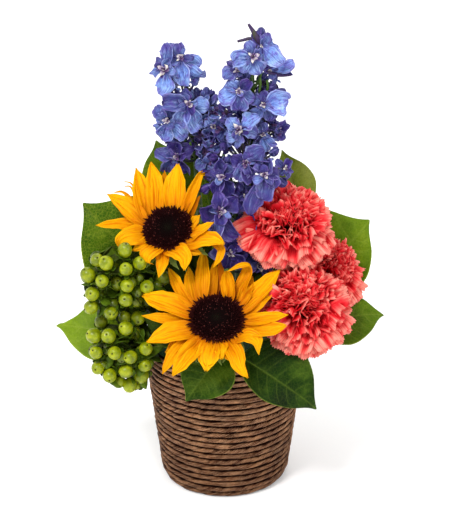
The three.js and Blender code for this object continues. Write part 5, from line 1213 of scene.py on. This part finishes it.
# Half-open florets between the others: place, size, the way the mouth points, how sky-blue they are.
HALF_OPEN = {
    "delphinium_left": [
        ([-33.5, 13.0, 277.4], 4.0, [-0.3, -0.8, 0.2], 0.1), ([-19.1, 11.0, 278.9], 3.8, [0.5, -0.7, 0.3], 0.2), ([-14.4, 10.0, 272.0], 4.2, [0.6, -0.7, -0.1], 0.5), ([-24.0, 12.0, 265.4], 4.0, [0.1, -0.8, -0.4], 0.15),
        ([-30.2, 12.0, 260.3], 4.2, [-0.5, -0.6, -0.3], 0.05), ([-17.8, 9.0, 259.2], 4.6, [0.4, -0.8, -0.1], 0.1), ([-12.3, 6.0, 254.5], 4.8, [0.7, -0.6, 0.0], 0.05), ([-36.5, 12.0, 250.8], 4.2, [-0.7, -0.5, -0.2], 0.0),
        ([-14.4, 6.0, 246.4], 4.6, [0.3, -0.8, -0.3], 0.35), ([-12.2, 8.0, 285.0], 3.4, [0.5, -0.3, 0.9], 0.15), ([-12, 26, 276], 4.6, [0.7, 0.6, 0.2], 0.3), ([-34, 30, 288], 4.6, [-0.6, 0.7, 0.2], 0.2), ([-30, 30, 256], 4.6, [-0.5, 0.8, -0.1], 0.1),
        ([-7.5, 4.0, 274.2], 4.4, [0.6, -0.7, 0.3], 0.6), ([-14.3, 5.0, 268.0], 3.8, [0.5, -0.8, 0.2], 0.5), ([-35.4, 9.0, 288.9], 3.8, [-0.1, -0.8, -0.3], 0.35), ([-43.9, 9.0, 262.2], 3.4, [-0.6, -0.7, 0.2], 0.5),
    ],
    "delphinium_right": [
        ([12.1, 2.0, 302.8], 4.0, [-0.6, -0.6, 0.3], 0.1), ([25.1, 3.0, 289.6], 3.8, [0.1, -0.8, -0.2], 0.05), ([32.5, 5.0, 293.2], 3.6, [0.7, -0.5, -0.2], 0.1), ([14.9, 3.0, 279.6], 4.0, [-0.4, -0.7, 0.3], 0.05),
        ([29.2, 3.0, 281.7], 4.0, [0.5, -0.7, 0.1], 0.0), ([32.1, 5.0, 265.8], 4.2, [0.6, -0.6, -0.3], 0.05), ([21.2, 0.0, 256.1], 4.6, [0.1, -0.8, -0.3], 0.3), ([26.0, 0.0, 250.2], 4.2, [0.5, -0.7, -0.4], 0.1),
        ([10.2, 1.0, 262.2], 4.2, [-0.4, -0.8, -0.2], 0.25), ([36.3, 6.0, 258.2], 3.6, [0.8, -0.4, -0.3], 0.1), ([12, 14, 296], 4.6, [-0.5, 0.8, 0.2], 0.3), ([28, 15, 292], 4.6, [0.6, 0.7, 0.2], 0.2), ([22, 18, 266], 4.6, [0.2, 0.9, -0.1], 0.1),
    ],
    "delphinium_front": [
        ([-3.4, -1.0, 264.4], 5.2, [-0.5, -0.8, 0.1], 0.2), ([1.4, 2.0, 274.9], 4.6, [-0.3, -0.7, 0.5], 0.35), ([0.7, -3.0, 252.8], 5.0, [-0.2, -0.9, 0.0], 0.05), ([-7.5, 0.0, 253.9], 4.8, [-0.7, -0.6, 0.0], 0.1),
        ([5.5, -1.0, 257.9], 4.6, [0.0, -0.9, 0.2], 0.15), ([-8.9, -2.0, 242.2], 4.8, [-0.6, -0.7, -0.2], 0.35), ([-2.0, -8.0, 240.1], 4.8, [-0.2, -0.9, -0.2], 0.1), ([5.4, 0.0, 269.8], 4.4, [0.2, -0.8, 0.4], 0.1),
        ([20.5, -12.0, 230.7], 5.0, [0.3, -0.8, -0.3], 0.05), ([14.3, -10.0, 237.3], 4.6, [0.1, -0.9, -0.1], 0.1), ([29.3, -8.0, 242.3], 4.6, [0.6, -0.7, -0.2], 0.1), ([-10.9, -8.0, 232.8], 4.8, [-0.7, -0.6, -0.3], 0.05),
        ([4.8, -12.0, 219.7], 4.4, [0.0, -0.8, -0.4], 0.0), ([25.2, -6.0, 245.2], 4.2, [0.4, -0.7, 0.4], 0.2), ([4.1, -12.0, 213.0], 4.6, [-0.2, -0.8, -0.4], 0.02), ([10.3, -10.0, 205.5], 4.4, [0.3, -0.8, -0.3], 0.02),
        ([2.1, -8.0, 195.6], 4.6, [-0.2, -0.8, -0.2], 0.0), ([14.5, -10.0, 189.0], 4.6, [0.3, -0.8, -0.3], 0.02), ([25.7, -8.0, 172.9], 4.2, [0.5, -0.7, -0.2], 0.02),
    ],
}
# Bare spurs and stalks: points along each, radius at its start and end, how green it is.
STALKS = {
    "delphinium_left": [([[-24, 16, 262], [-25.5, 11, 268], [-26.5, 7, 275]], 0.9, 0.8, 0.9), ([[-21, 18, 240], [-17, 12, 246], [-14.5, 8, 252]], 0.9, 0.8, 0.8), ([[-21, 18, 244], [-27, 13, 250], [-31, 9, 257]], 0.9, 0.8, 0.7),
                        ([[-21, 18, 236], [-22.5, 13, 243], [-24, 8, 251]], 0.9, 0.8, 1.0)],
    "delphinium_right": [([[23.6, 3, 321], [22.6, 0.0, 326], [19.6, -0.5, 332.2], [15.6, -0.5, 338.6]], 3.1, 0.9, 0.0), ([[27.6, 2.0, 304.2], [37.1, 2.0, 301.7], [44.5, 3.0, 301.7]], 1.3, 0.8, 0.0), ([[22.5, 2, 325], [16.7, 0, 328.3], [12.4, 0, 327.4], [8.4, 0, 326.4]], 1.5, 0.9, 0.0),
                         ([[23.6, -1.0, 301.0], [23.6, 0.0, 293.5], [20.5, 3, 284]], 0.9, 0.9, 1.0), ([[28.3, 0.0, 299.2], [28.6, 0.5, 292.1], [21.5, 3.5, 281]], 0.9, 0.9, 1.0), ([[24.6, 1, 305], [23.0, 2, 299], [18.6, 4, 290]], 1.0, 1.0, 0.9)],
    "delphinium_front": [([[15, -7, 246], [8.8, -1, 262], [4.1, 1, 272], [-0.7, 1.5, 277.6], [-7.5, 3, 278.2]], 1.3, 1.0, 0.0), ([[6.2, -9, 205], [-3, -12, 226], [-8.5, -8, 246]], 1.0, 0.8, 0.7), ([[8, -8.5, 214], [4, -9, 232], [-1.5, -4, 247]], 1.0, 0.8, 0.8),
                         ([[12, -8, 228], [19, -9, 238], [21, -4, 254]], 1.1, 0.9, 0.9)],
}


def round_floret(b, place, face, R, sky, root, rng):
    f = Frame(place, face, rng.uniform(0, 1.2))
    for k in range(5):
        a = 2 * math.pi * k / 5 + rng.uniform(-0.2, 0.2)
        L = R * rng.uniform(0.88, 1.12)
        tip = f.at(V3(L * math.cos(a), L * math.sin(a), rng.uniform(-0.15, 0.3) * R))
        sepal(b, f.c, tip, R * rng.uniform(0.42, 0.54), float(np.clip(sky + rng.uniform(-0.3, 0.3), 0, 1)), f.z, rng)
    centre_and_stalk(b, f, 2.2, root, rng)


def bud(b, place, r, axis, root, rng, hue):
    """A closed bud: ridged where its sepals meet, drawn out to a point, with its spur and stalk."""
    ax = unit(axis)
    q = np.array(place, float)
    fb = Frame(q, ax, rng.uniform(0, 1.2))
    b.ball(fb, r, lambda th, ph: np.stack([0.25 + 0.5 * th / math.pi, 0.5 + 0.5 * np.sin(2.5 * ph), np.full(th.shape, 0.4), np.full(th.shape, hue)], -1), 14, 15,
           shape=lambda th, ph: (1 + 0.5 * np.abs(np.cos(th)) ** 2 + 0.35 * np.clip(np.cos(th), 0, 1) ** 8) * (1 + 0.09 * np.cos(5 * ph) * np.sin(th)))
    for k in range(2):
        a = rng.uniform(0, 6.28)
        o = fb.dir(V3(math.cos(a), math.sin(a), 0))
        sepal(b, q - ax * 0.7 * r + o * 0.3 * r, q + ax * 1.1 * r + o * 1.15 * r, 0.62 * r, hue, o, rng)
    back = q - ax * r * 1.2
    b.tube(catmull([back + ax * 0.6, back - ax * 2.5 + V3(0, 0, -0.6), (back + root) / 2 + V3(0, 0, -2.0), root], 14), 0.75, (0, 0, 0, 0.15), 7, mat=2)
    o = unit(np.cross(ax, rng.uniform(-1, 1, 3)))
    b.tube(even(catmull([back + ax * r * 0.5, back + o * 2.2 - ax * 1.5, back + o * 3.6 - ax * 4.5], 20), 8), np.linspace(1.1, 0.45, 8), (0, 0, 0, 0.0), 7, mat=2)


for d in DELPHINIUMS:
    rng = np.random.default_rng(d["seed"])
    pts = foot(*d["foot"]) + d["route"]
    curve = catmull(pts, 90, 0.01)

    def root_of(q, drop=8):
        return curve[np.argmin(np.abs(curve[:, 2] - (q[2] - drop)))]
    b = Build()
    s = np.linspace(0, 1, 90)
    b.tube(curve, 2.4 - 0.9 * s ** 1.5, (0, 0, 0, 0.75), 12, mat=2, shape=[1 + 0.04 * np.cos(4 * np.arange(12) * 2 * math.pi / 12) for _ in s])
    for q, r, ax, hue in d["buds"]:
        bud(b, q, r, ax, root_of(q), rng, hue)
    for q, r, ax, hue in HALF_OPEN[d["name"]]:
        half_open(b, q, r, ax, hue, root_of(q), rng)
    for route, r0, r1, green in STALKS[d["name"]]:
        b.tube(even(catmull(route, 60), 24), np.linspace(r0, r1, 24), (0, 0, 0, green), 9, mat=2)
    for name, q, face, bee, sepals in FLORETS[d["name"]]:
        if name is None:
            floret(b, q, face, bee, sepals, root_of(q), rng, d.get("blue", 1.0))
    for q, face, r, sky in BACK_FLORETS[d["name"]]:
        round_floret(b, q, face, r, sky, root_of(q), rng)
    # narrow leaflets under the florets
    for k in range(9):
        z = curve[30 + 6 * k]
        a = 2.4 * k + 0.5
        o = V3(math.cos(a), math.sin(a), 0)
        path = catmull([z + o * 1.2, z + o * 4 + V3(0, 0, 4), z + o * 7 + V3(0, 0, 8)], 8)
        t = np.linspace(0, 1, 8)
        blade(b, path, V3(-math.sin(a), math.cos(a), 0), np.maximum(1.1 * (1 - t ** 1.5), 0.1), (0.5, 0), nu=5, cup=0.4, thick=0.4, mat=3, rng=rng)
    piece(d["name"] + "_spike", b, [SEPAL, BEE, SPUR, SPRIG_LEAF], "delphinium", d["name"] + "_stem")
    for name, q, face, bee, sepals in FLORETS[d["name"]]:
        if name:
            b = Build()
            floret(b, q, face, bee, sepals, root_of(q), rng, d.get("blue", 1.0))
            piece(d["name"] + "_bloom_" + name, b, [SEPAL, BEE, SPUR], "delphinium", d["name"] + "_floret_" + name)

# ---------------------------------------------------------------- hypericum
HYPERICUM = [
    dict(name="hypericum_upper_outer", foot=[-37, -12], hubs=[[-56, -24, 134], [-76, -32, 160]],
         berries=[[-86.7, -43.3, 185.7], [-80.3, -47.7, 185.4], [-93.1, -43.6, 174.7], [-83.2, -50.4, 173.3], [-90.5, -46, 161.6], [-91.5, -43.9, 150.6], [-77.9, -46, 147.2], [-94, -28, 166], [-88, -22, 178],
                  [-77.1, -36, 176.4], [-73.8, -38, 166.1], [-83.4, -30, 155.6], [-79.2, -34, 150.4]], seed=51,
         leaves=[([-53.5, -22.5, 131], [-78, -14, 128], 12), ([-60, -25, 139], [-78, -13, 160], 9)], fill=[([-92.0, -20.0, 164.6], [-85.7, -20.0, 140.9], 8)]),
    dict(name="hypericum_upper_inner", foot=[-29, -15], hubs=[[-40, -22, 130], [-58, -34, 160]],
         berries=[[-66.8, -50.7, 182.4], [-67.6, -42.3, 192.6], [-57.5, -45.9, 184.6], [-66.2, -52.4, 170.8], [-53, -47.2, 167.4], [-67.4, -51, 159.4], [-59.8, -40.4, 140.7],
                  [-62.2, -34, 174], [-61.1, -38, 153.2], [-53.9, -30, 149.5], [-42.5, -32.7, 167.4]], seed=52,
         leaves=[([-43, -24, 135], [-37, -19, 168], 10), ([-46, -26, 140], [-66, -22, 172], 9), ([-32.7, -16.0, 150.5], [-40.9, -12.0, 176.2], 9)], more=[([-44.7, -36.0, 147.7], 3.4)], fill=[([-59.4, -24.0, 123.4], [-74.4, -22.0, 145.7], 7), ([-54.0, -24.0, 154.3], [-50.3, -24.0, 171.8], 5)]),
    dict(name="hypericum_lower_outer", foot=[-38, -24], hubs=[[-52, -34, 118], [-72, -40, 118]],
         berries=[[-89.9, -48, 130.7], [-88.5, -52.1, 120], [-79.7, -52.5, 132.9], [-87.6, -51.1, 107.6], [-79.7, -52, 102.4], [-75.6, -56.1, 121.7], [-90, -34, 112], [-82, -26, 100],
                  [-85.6, -36, 135.5], [-79.7, -38, 118.8], [-77.9, -38, 97]], seed=53),
    dict(name="hypericum_lower_inner", foot=[-31, -30], hubs=[[-42, -38, 118], [-56, -41, 117]],
         berries=[[-67.8, -49.7, 137.3], [-64.8, -55.1, 118.1], [-68.2, -53.3, 106.4], [-54.3, -51.9, 122.9], [-55.3, -51, 109.8], [-66, -45.6, 91.5], [-57.8, -46.2, 99],
                  [-68.8, -38, 139.4], [-61.9, -39, 128.8], [-70.8, -34, 111.2], [-61.3, -34, 104.9]], seed=54, more=[([-73.6, -46.0, 94.0], 4.2), ([-61.3, -44.0, 89.9], 2.6)], fill=[([-68.4, -28.0, 120.0], [-57.4, -28.0, 105.9], 7), ([-79.9, -28.0, 104.4], [-68.2, -28.0, 93.3], 7)]),
]


def berry(b, place, axis, r, age_and_shade, rng):
    f = Frame(place, axis, rng.uniform(0, 6.28))
    dent = lambda th, ph: (1 + 0.12 * np.abs(np.cos(th)) ** 3) * (1 - 0.16 * np.exp(-(th / 0.2) ** 2)) * (1 + 0.018 * np.cos(3 * ph) * np.sin(th) ** 2)
    b.ball(f, r, lambda th, ph: np.stack([th / math.pi, np.full(th.shape, age_and_shade), np.full(th.shape, 0.5), np.zeros(th.shape)], -1), 18, 22, shape=dent)
    top = f.at(V3(0, 0, r * 0.86))
    b.tube(np.array([top, top + f.z * 0.9, top + f.z * 1.6]), np.array([0.55, 0.4, 0.22]), (0.0, 1, 0, 0), 6)
    for k in range(5):
        a = 2 * math.pi * k / 5 + rng.uniform(-0.1, 0.1)
        o = V3(math.cos(a), math.sin(a), 0)
        L = r * rng.uniform(0.9, 1.15)
        path = catmull([o * 0.15 * r + V3(0, 0, -1.1 * r), o * 0.62 * r + V3(0, 0, -1.06 * r), o * (0.62 * r + 0.5 * L) + V3(0, 0, -0.86 * r + 0.1 * rng.uniform(-1, 1) * r), o * (0.6 * r + 0.72 * L) + V3(0, 0, -0.5 * r)], 9)
        t = np.linspace(0, 1, 9)
        blade(b, f.at(path), f.dir(V3(-math.sin(a), math.cos(a), 0)), np.maximum(r * 0.36 * np.sin(math.pi * (0.12 + 0.86 * t)) ** 0.8, 0.12), (0.5, 0.5 * rng.uniform()), nu=7, cup=0.2, thick=0.4, mat=2, rng=rng)


def sprig_leaf(b, base, direction, length, half, rng, mat=2):
    d = unit(direction)
    side = unit(np.cross(d, V3(0, 0, 1)) + rng.uniform(-0.2, 0.2, 3))
    end = np.asarray(base) + d * length
    if end[0] < -90:
        return
    if end[0] > -62 and end[1] < -42 and end[2] > 140:
        b = Build()
    droop = V3(0, 0, -0.12 * length)
    path = catmull([base, base + d * length * 0.35 + V3(0, 0, 0.06 * length), base + d * length * 0.7, base + d * length + droop], 14)
    t = np.linspace(0, 1, 14)
    blade(b, path, side, np.maximum(half * np.sin(math.pi * (0.04 + 0.93 * t)) ** 0.8, 0.15), (0.5, 0.3), nu=9, cup=0.16, groove=0.12, grooves=0.5, thick=0.45, edge=0.03, mat=mat, rng=rng)


for d in HYPERICUM:
    rng = np.random.default_rng(d["seed"])
    b = Build()
    pts = foot(*d["foot"]) + d["hubs"]
    b.tube(catmull(pts, 40, 0.01), 1.6 - 0.3 * np.linspace(0, 1, 40), (0, 0, 0, 0.2), 10, mat=1)
    hubs = np.array(d["hubs"], float)
    for q in d["berries"]:
        q = np.array(q, float)
        hub = hubs[np.argmin(np.linalg.norm(hubs - q, axis=1))]
        view = unit(V3(0.0, -0.7, 0.75))
        axis = unit(0.7 * unit(q - hub) + 0.5 * view + rng.uniform(-0.45, 0.45, 3))
        r = 5.0 * rng.uniform(0.9, 1.06)
        # berries further back in the cluster take more of the darker colour: painted shade; the random part is real
        # variation in age
        berry(b, q, axis, r, float(np.clip(0.4 * rng.uniform() + 0.045 * (q[1] + 44), 0, 1)), rng)
        end = q - axis * r * 1.05
        mid = (end + hub) / 2 + V3(0, 1.5, -2.0)
        b.tube(catmull([hub, mid, end - axis * 2.5, end], 14), np.linspace(1.05, 0.8, 14), (0, 0, 0, 0.3), 8, mat=1)
        if rng.uniform() < 0.75:
            sprig_leaf(b, mid, unit(q - hub) * 0.6 + rng.uniform(-0.8, 0.8, 3), rng.uniform(11, 17), rng.uniform(3.2, 4.6), rng)
    for k in range(5):
        o = unit(rng.uniform(-1, 1, 3) + V3(-0.4, -0.3, 0.2))
        sprig_leaf(b, hubs[k % 2] + o, o, rng.uniform(16, 24), rng.uniform(4.5, 6.5), rng)
    # leaves, spent sepals and unopened fruits that fill the inside of the cluster; most leaves are in the dark
    # shaded-leaf material and the small fruits take nearly the full darker berry colour, painted shade where the
    # cluster is deep
    mid_all = np.mean(np.array(d["berries"]), axis=0)
    for base, tip, half in d.get("leaves", []):
        stem_leaf(b, base, tip, half, rng, 3)
    for k in range(18):
        q = np.array(d["berries"][k % len(d["berries"])], float)
        start = q * 0.72 + mid_all * 0.28 + V3(rng.uniform(-4, 4), rng.uniform(6, 13), rng.uniform(-4, 4))
        sprig_leaf(b, start, unit(rng.uniform(-1, 1, 3) * V3(1, 0.35, 1)), rng.uniform(12, 18), rng.uniform(4.5, 6.5), rng, 3 if k % 3 else 2)
    for base, tip, half in d.get("fill", []):
        stem_leaf(b, base, tip, half, rng, 3)
    for q, r in d.get("more", []):
        q = np.array(q, float)
        hub = hubs[np.argmin(np.linalg.norm(hubs - q, axis=1))]
        axis = unit(unit(q - hub) + V3(0, -0.6, 0.5))
        berry(b, q, axis, r, 0.3, rng)
        b.tube(catmull([hub, (hub + q) / 2 + V3(0, 1, -1.5), q - axis * r], 9), 0.85, (0, 0, 0, 0.3), 7, mat=1)
    for k in range(9):
        q = np.array(d["berries"][(3 * k + 1) % len(d["berries"])], float)
        hub = hubs[np.argmin(np.linalg.norm(hubs - q, axis=1))]
        place = q * 0.62 + hub * 0.38 + rng.uniform(-4, 4, 3)
        axis = unit(place - hub + rng.uniform(-6, 6, 3))
        berry(b, place, axis, rng.uniform(2.4, 3.8), 0.9, rng)
        b.tube(catmull([hub, (hub + place) / 2 + V3(0, 1, -1.5), place - axis * 2.4], 9), 0.8, (0, 0, 0, 0.3), 7, mat=1)
    piece(d["name"] + "_sprig", b, [BERRY, TWIG, SPRIG_LEAF, LEAF_SHADE], "berry", d["name"])

# ---------------------------------------------------------------- salal leaves
LEAVES = [
    dict(name="leaf_upper_left", base=[-34.7, 30, 199.4], tip=[-48.5, 36, 241.5], n=[-0.15, -0.8, 0.55], w=22, sides=(0.85, 1.15), arch=0.08, foot=[-24, 24], bend=[[-27, 27, 160]], mat=LEAF_SIDE),
    dict(name="leaf_left", base=[-50, 3, 155], tip=[-98.9, 8, 205.4], n=[-0.2, -0.88, 0.42], w=27, sides=(1.25, 1.8), arch=0.1, foot=[-40, 8], bend=[[-46, 5, 132]], mat=LEAF),
    dict(name="leaf_left_low", base=[-66, -10, 109], tip=[-119.8, -4, 117.6], n=[-0.1, -0.7, 0.7], w=22, sides=(1.0, 1.42), cut=0.6, arch=0.12, foot=[-44, -8], bend=[[-56, -10, 114]], mat=LEAF_YELLOW),
    dict(name="leaf_front", base=[-2.1, -56, 122.4], tip=[-26.6, -74, 94.1], n=[0.05, -0.86, 0.5], w=20, arch=0.1, foot=[-10, -41], bend=[[-8, -50, 120]], mat=LEAF_MID),
    dict(name="leaf_front_right", base=[10.3, -56, 118.9], tip=[63.3, -66, 83.6], n=[0.12, -0.84, 0.52], w=23, sides=(1.22, 0.74), arch=0.1, foot=[9, -42], bend=[[9, -49, 119]], mat=LEAF_DARK),
    dict(name="leaf_right_low", base=[62, -8, 118], tip=[113, 2, 123.3], n=[0.15, -0.62, 0.76], w=20, sides=(0.96, 1.08), arch=0.12, foot=[44, -7], bend=[[56, -8, 118]], mat=LEAF_SIDE),
    dict(name="leaf_right", base=[66, 49, 129.8], tip=[104.5, 53, 173.4], n=[0.2, -0.88, 0.42], w=27, sides=(2.1, 0.97), arch=0.08, foot=[38, 26], bend=[[50, 38, 118]], mat=LEAF_BRIGHT),
    dict(name="leaf_upper_right", base=[52.1, 30, 190.0], tip=[40.4, 36, 234.7], n=[0.2, -0.85, 0.48], w=21, sides=(1.05, 0.79), arch=0.08, foot=[20, 22], bend=[[36, 26, 150]], mat=LEAF_OLIVE),
    dict(name="leaf_back_left", base=[-44, 42, 138], tip=[-80, 66, 182], n=[-0.45, 0.72, 0.52], w=24, arch=0.1, foot=[-29, 36], bend=[[-36, 40, 122]], mat=LEAF),
    dict(name="leaf_back", base=[-6, 52, 146], tip=[-16, 72, 206], n=[0.0, 0.93, 0.35], w=25, arch=0.1, foot=[-5, 38], bend=[[-5, 45, 128]], mat=LEAF),
    dict(name="leaf_back_right", base=[30, 50, 138], tip=[46, 74, 188], n=[0.3, 0.82, 0.48], w=24, arch=0.1, foot=[18, 38], bend=[[24, 44, 124]], mat=LEAF),
    dict(name="leaf_back_low_left", base=[-19, 38, 122], tip=[-50, 86, 108], n=[-0.2, 0.4, 0.9], w=24, arch=0.14, foot=[-13, 29], bend=[], mat=LEAF),
    dict(name="leaf_back_low_right", base=[12, 42, 122], tip=[34, 94, 108], n=[0.15, 0.45, 0.88], w=24, arch=0.14, foot=[8, 30], bend=[], mat=LEAF_BRIGHT),
]


def leaf(d, seed):
    rng = np.random.default_rng(seed)
    b = Build()
    base, tip = np.array(d["base"], float), np.array(d["tip"], float)
    L = np.linalg.norm(tip - base)
    a = unit(tip - base)
    n = unit(np.array(d["n"], float) - (np.array(d["n"]) @ a) * a)
    side = np.cross(a, n)
    nv, nu = 96, 47
    t = np.linspace(0, 1, nv)[:, None]
    u = np.linspace(-1, 1, nu)[None, :]
    w = d["w"] * leaf_share(t) + 0.22
    saw = ((t * 34) % 1.0)
    w = w * (1 + 0.014 * (saw - 0.5) * smooth(t * 6))
    lw, rw = wobble(rng, 4, 3, 9), wobble(rng, 4, 3, 9)
    near, far = d.get("sides", (1.0, 1.0))
    wu = np.where(u < 0, near * w * (1 + 0.035 * lw(t)), far * w * (1 + 0.035 * rw(t)) * (1 - d.get("cut", 0.0) * smooth((t - 0.45) / 0.35) * (1 - smooth((t - 0.9) / 0.1))))
    # veins: the midrib, and side veins that sweep towards the tip
    mid = np.exp(-(u * wu / 0.75) ** 2)
    sv = np.zeros((nv, nu))
    for sgn in (-1, 1):
        for k in range(7):
            t0 = 0.05 + 0.125 * k + (0.03 if sgn > 0 else 0)
            au = np.abs(u)
            line = t0 + (0.30 - 0.018 * k) * au ** 0.85 * (d["w"] / L) * 1.15 + 0.10 * au ** 2.5
            m = np.exp(-((t - line) * L / 0.42) ** 2) * (1 - 0.75 * au ** 3)
            sv = np.maximum(sv, np.where(np.sign(u) == sgn, m, 0))
    pucker = np.zeros((nv, nu))
    for sgn in (-1, 1):
        ph = 0.05 + (0.03 if sgn > 0 else 0)
        au = np.abs(u)
        line = (t - ph - 0.26 * au ** 0.85 * (d["w"] / L) * 1.15 - 0.10 * au ** 2.5) / 0.125
        pucker = np.where(np.sign(u) == sgn, np.sin(math.pi * (line % 1.0)) ** 2 * au * (1 - au ** 4), pucker)
    veins = np.maximum(mid * (1 - 0.5 * t), 0.5 * sv * smooth((1 - t) / 0.1))
    waves, roll = wobble(rng, 4, 4, 9), wobble(rng, 3, 2, 6)
    rise = d["arch"] * L * 4 * t * (1 - t) + d.get("fold", 0.16) * np.abs(u) * w
    rise = rise - 0.35 * veins + 0.32 * pucker + 0.07 * d["w"] * u * np.abs(u) * waves(t * 1.0 + 0) + 0.05 * d["w"] * u ** 2 * roll(t + 3)
    rise = rise - d.get("curl", 0.04) * L * np.clip((t - 0.8) / 0.2, 0, 1) ** 2
    p = base + a * (t * L)[..., None] + side * (u * wu)[..., None] + n * rise[..., None]
    c = np.zeros((nv, nu, 4))
    c[..., 0] = t
    c[..., 1] = 0.5 + 0.5 * u
    c[..., 2] = veins
    c[..., 3] = smooth((np.abs(u) - 0.955) / 0.045)
    b.sheet(p, c, 0.55, taper=0.4)
    b2 = base + a * 3 + n * (d["arch"] * 12)
    path = catmull(foot(*d["foot"]) + d["bend"] + [b2.tolist()], 40, 0.01)
    b.tube(path, 1.25 + 0.25 * smooth((np.linspace(0, 1, 40) - 0.85) / 0.15), (0, 0, 0, 0.3), 9, mat=1)
    # the midrib stands proud of the underside
    keel = base + a * (np.linspace(0.0, 0.93, 30)[:, None] * L) + n * (np.interp(np.linspace(0, 0.93, 30), t[:, 0], (rise[:, nu // 2]))[:, None] - 0.35)
    b.tube(keel, np.linspace(0.8, 0.3, 30), (0, 0, 0, 0.5), 7, mat=1)
    piece(d["name"] + "_blade", b, [d["mat"], STEM], "salal_leaf", d["name"])


for i, d in enumerate(LEAVES):
    leaf(d, 60 + i)

# ---------------------------------------------------------------- floor, camera, light
me = bpy.data.meshes.new("floor")
me.from_pydata([(-6, -6, 0), (6, -6, 0), (6, 6, 0), (-6, 6, 0)], [], [(0, 1, 2, 3)])
floor = bpy.data.objects.new("floor", me)
bpy.context.scene.collection.objects.link(floor)
m = Mat("floor_paper", 0.9)
m.s.inputs["Specular IOR Level"].default_value = 0.1
m.s.inputs["Emission Color"].default_value = (1, 1, 1, 1)
m.s.inputs["Emission Strength"].default_value = 0.1
fn = m.noise(m.place(3), 1.0, 2, 0.5)
me.materials.append(m.finish(m.ramp(fn, [(0.0, (0.93, 0.93, 0.93, 1)), (1.0, (0.96, 0.96, 0.96, 1))])))

cam_data = bpy.data.cameras.new("camera")
cam = bpy.data.objects.new("camera", cam_data)
bpy.context.scene.collection.objects.link(cam)
elev = math.radians(24.0)
target = Vector((0, 0, 0.1705))
cam.location = target + Vector((0, -math.cos(elev), math.sin(elev))) * 1.4
cam.rotation_euler = (target - cam.location).to_track_quat("-Z", "Y").to_euler()
cam_data.sensor_width = 36
cam_data.lens = 2000 * 36 / 509
cam_data.clip_end = 50
bpy.context.scene.camera = cam

world = bpy.data.worlds.new("studio")
bpy.context.scene.world = world
world.use_nodes = True
bg = next(n for n in world.node_tree.nodes if n.type == "BACKGROUND")
bg.inputs["Color"].default_value = (1, 1, 1, 1)
bg.inputs["Strength"].default_value = 0.9


def area(name, place, size, energy, colour=(1, 1, 1)):
    light = bpy.data.lights.new(name, "AREA")
    light.shape = "DISK"
    light.size = size
    light.energy = energy
    light.color = colour
    ob = bpy.data.objects.new(name, light)
    bpy.context.scene.collection.objects.link(ob)
    ob.location = place
    ob.rotation_euler = (Vector((0, 0, 0.16)) - Vector(place)).to_track_quat("-Z", "Y").to_euler()


area("key", (-0.6, -1.1, 1.7), 0.55, 26)
area("fill", (1.3, -1.1, 0.9), 1.0, 6)
area("back", (0.2, 1.3, 1.5), 1.0, 9)
bpy.context.scene.view_settings.view_transform = "Standard"
bpy.context.scene.view_settings.look = "None"
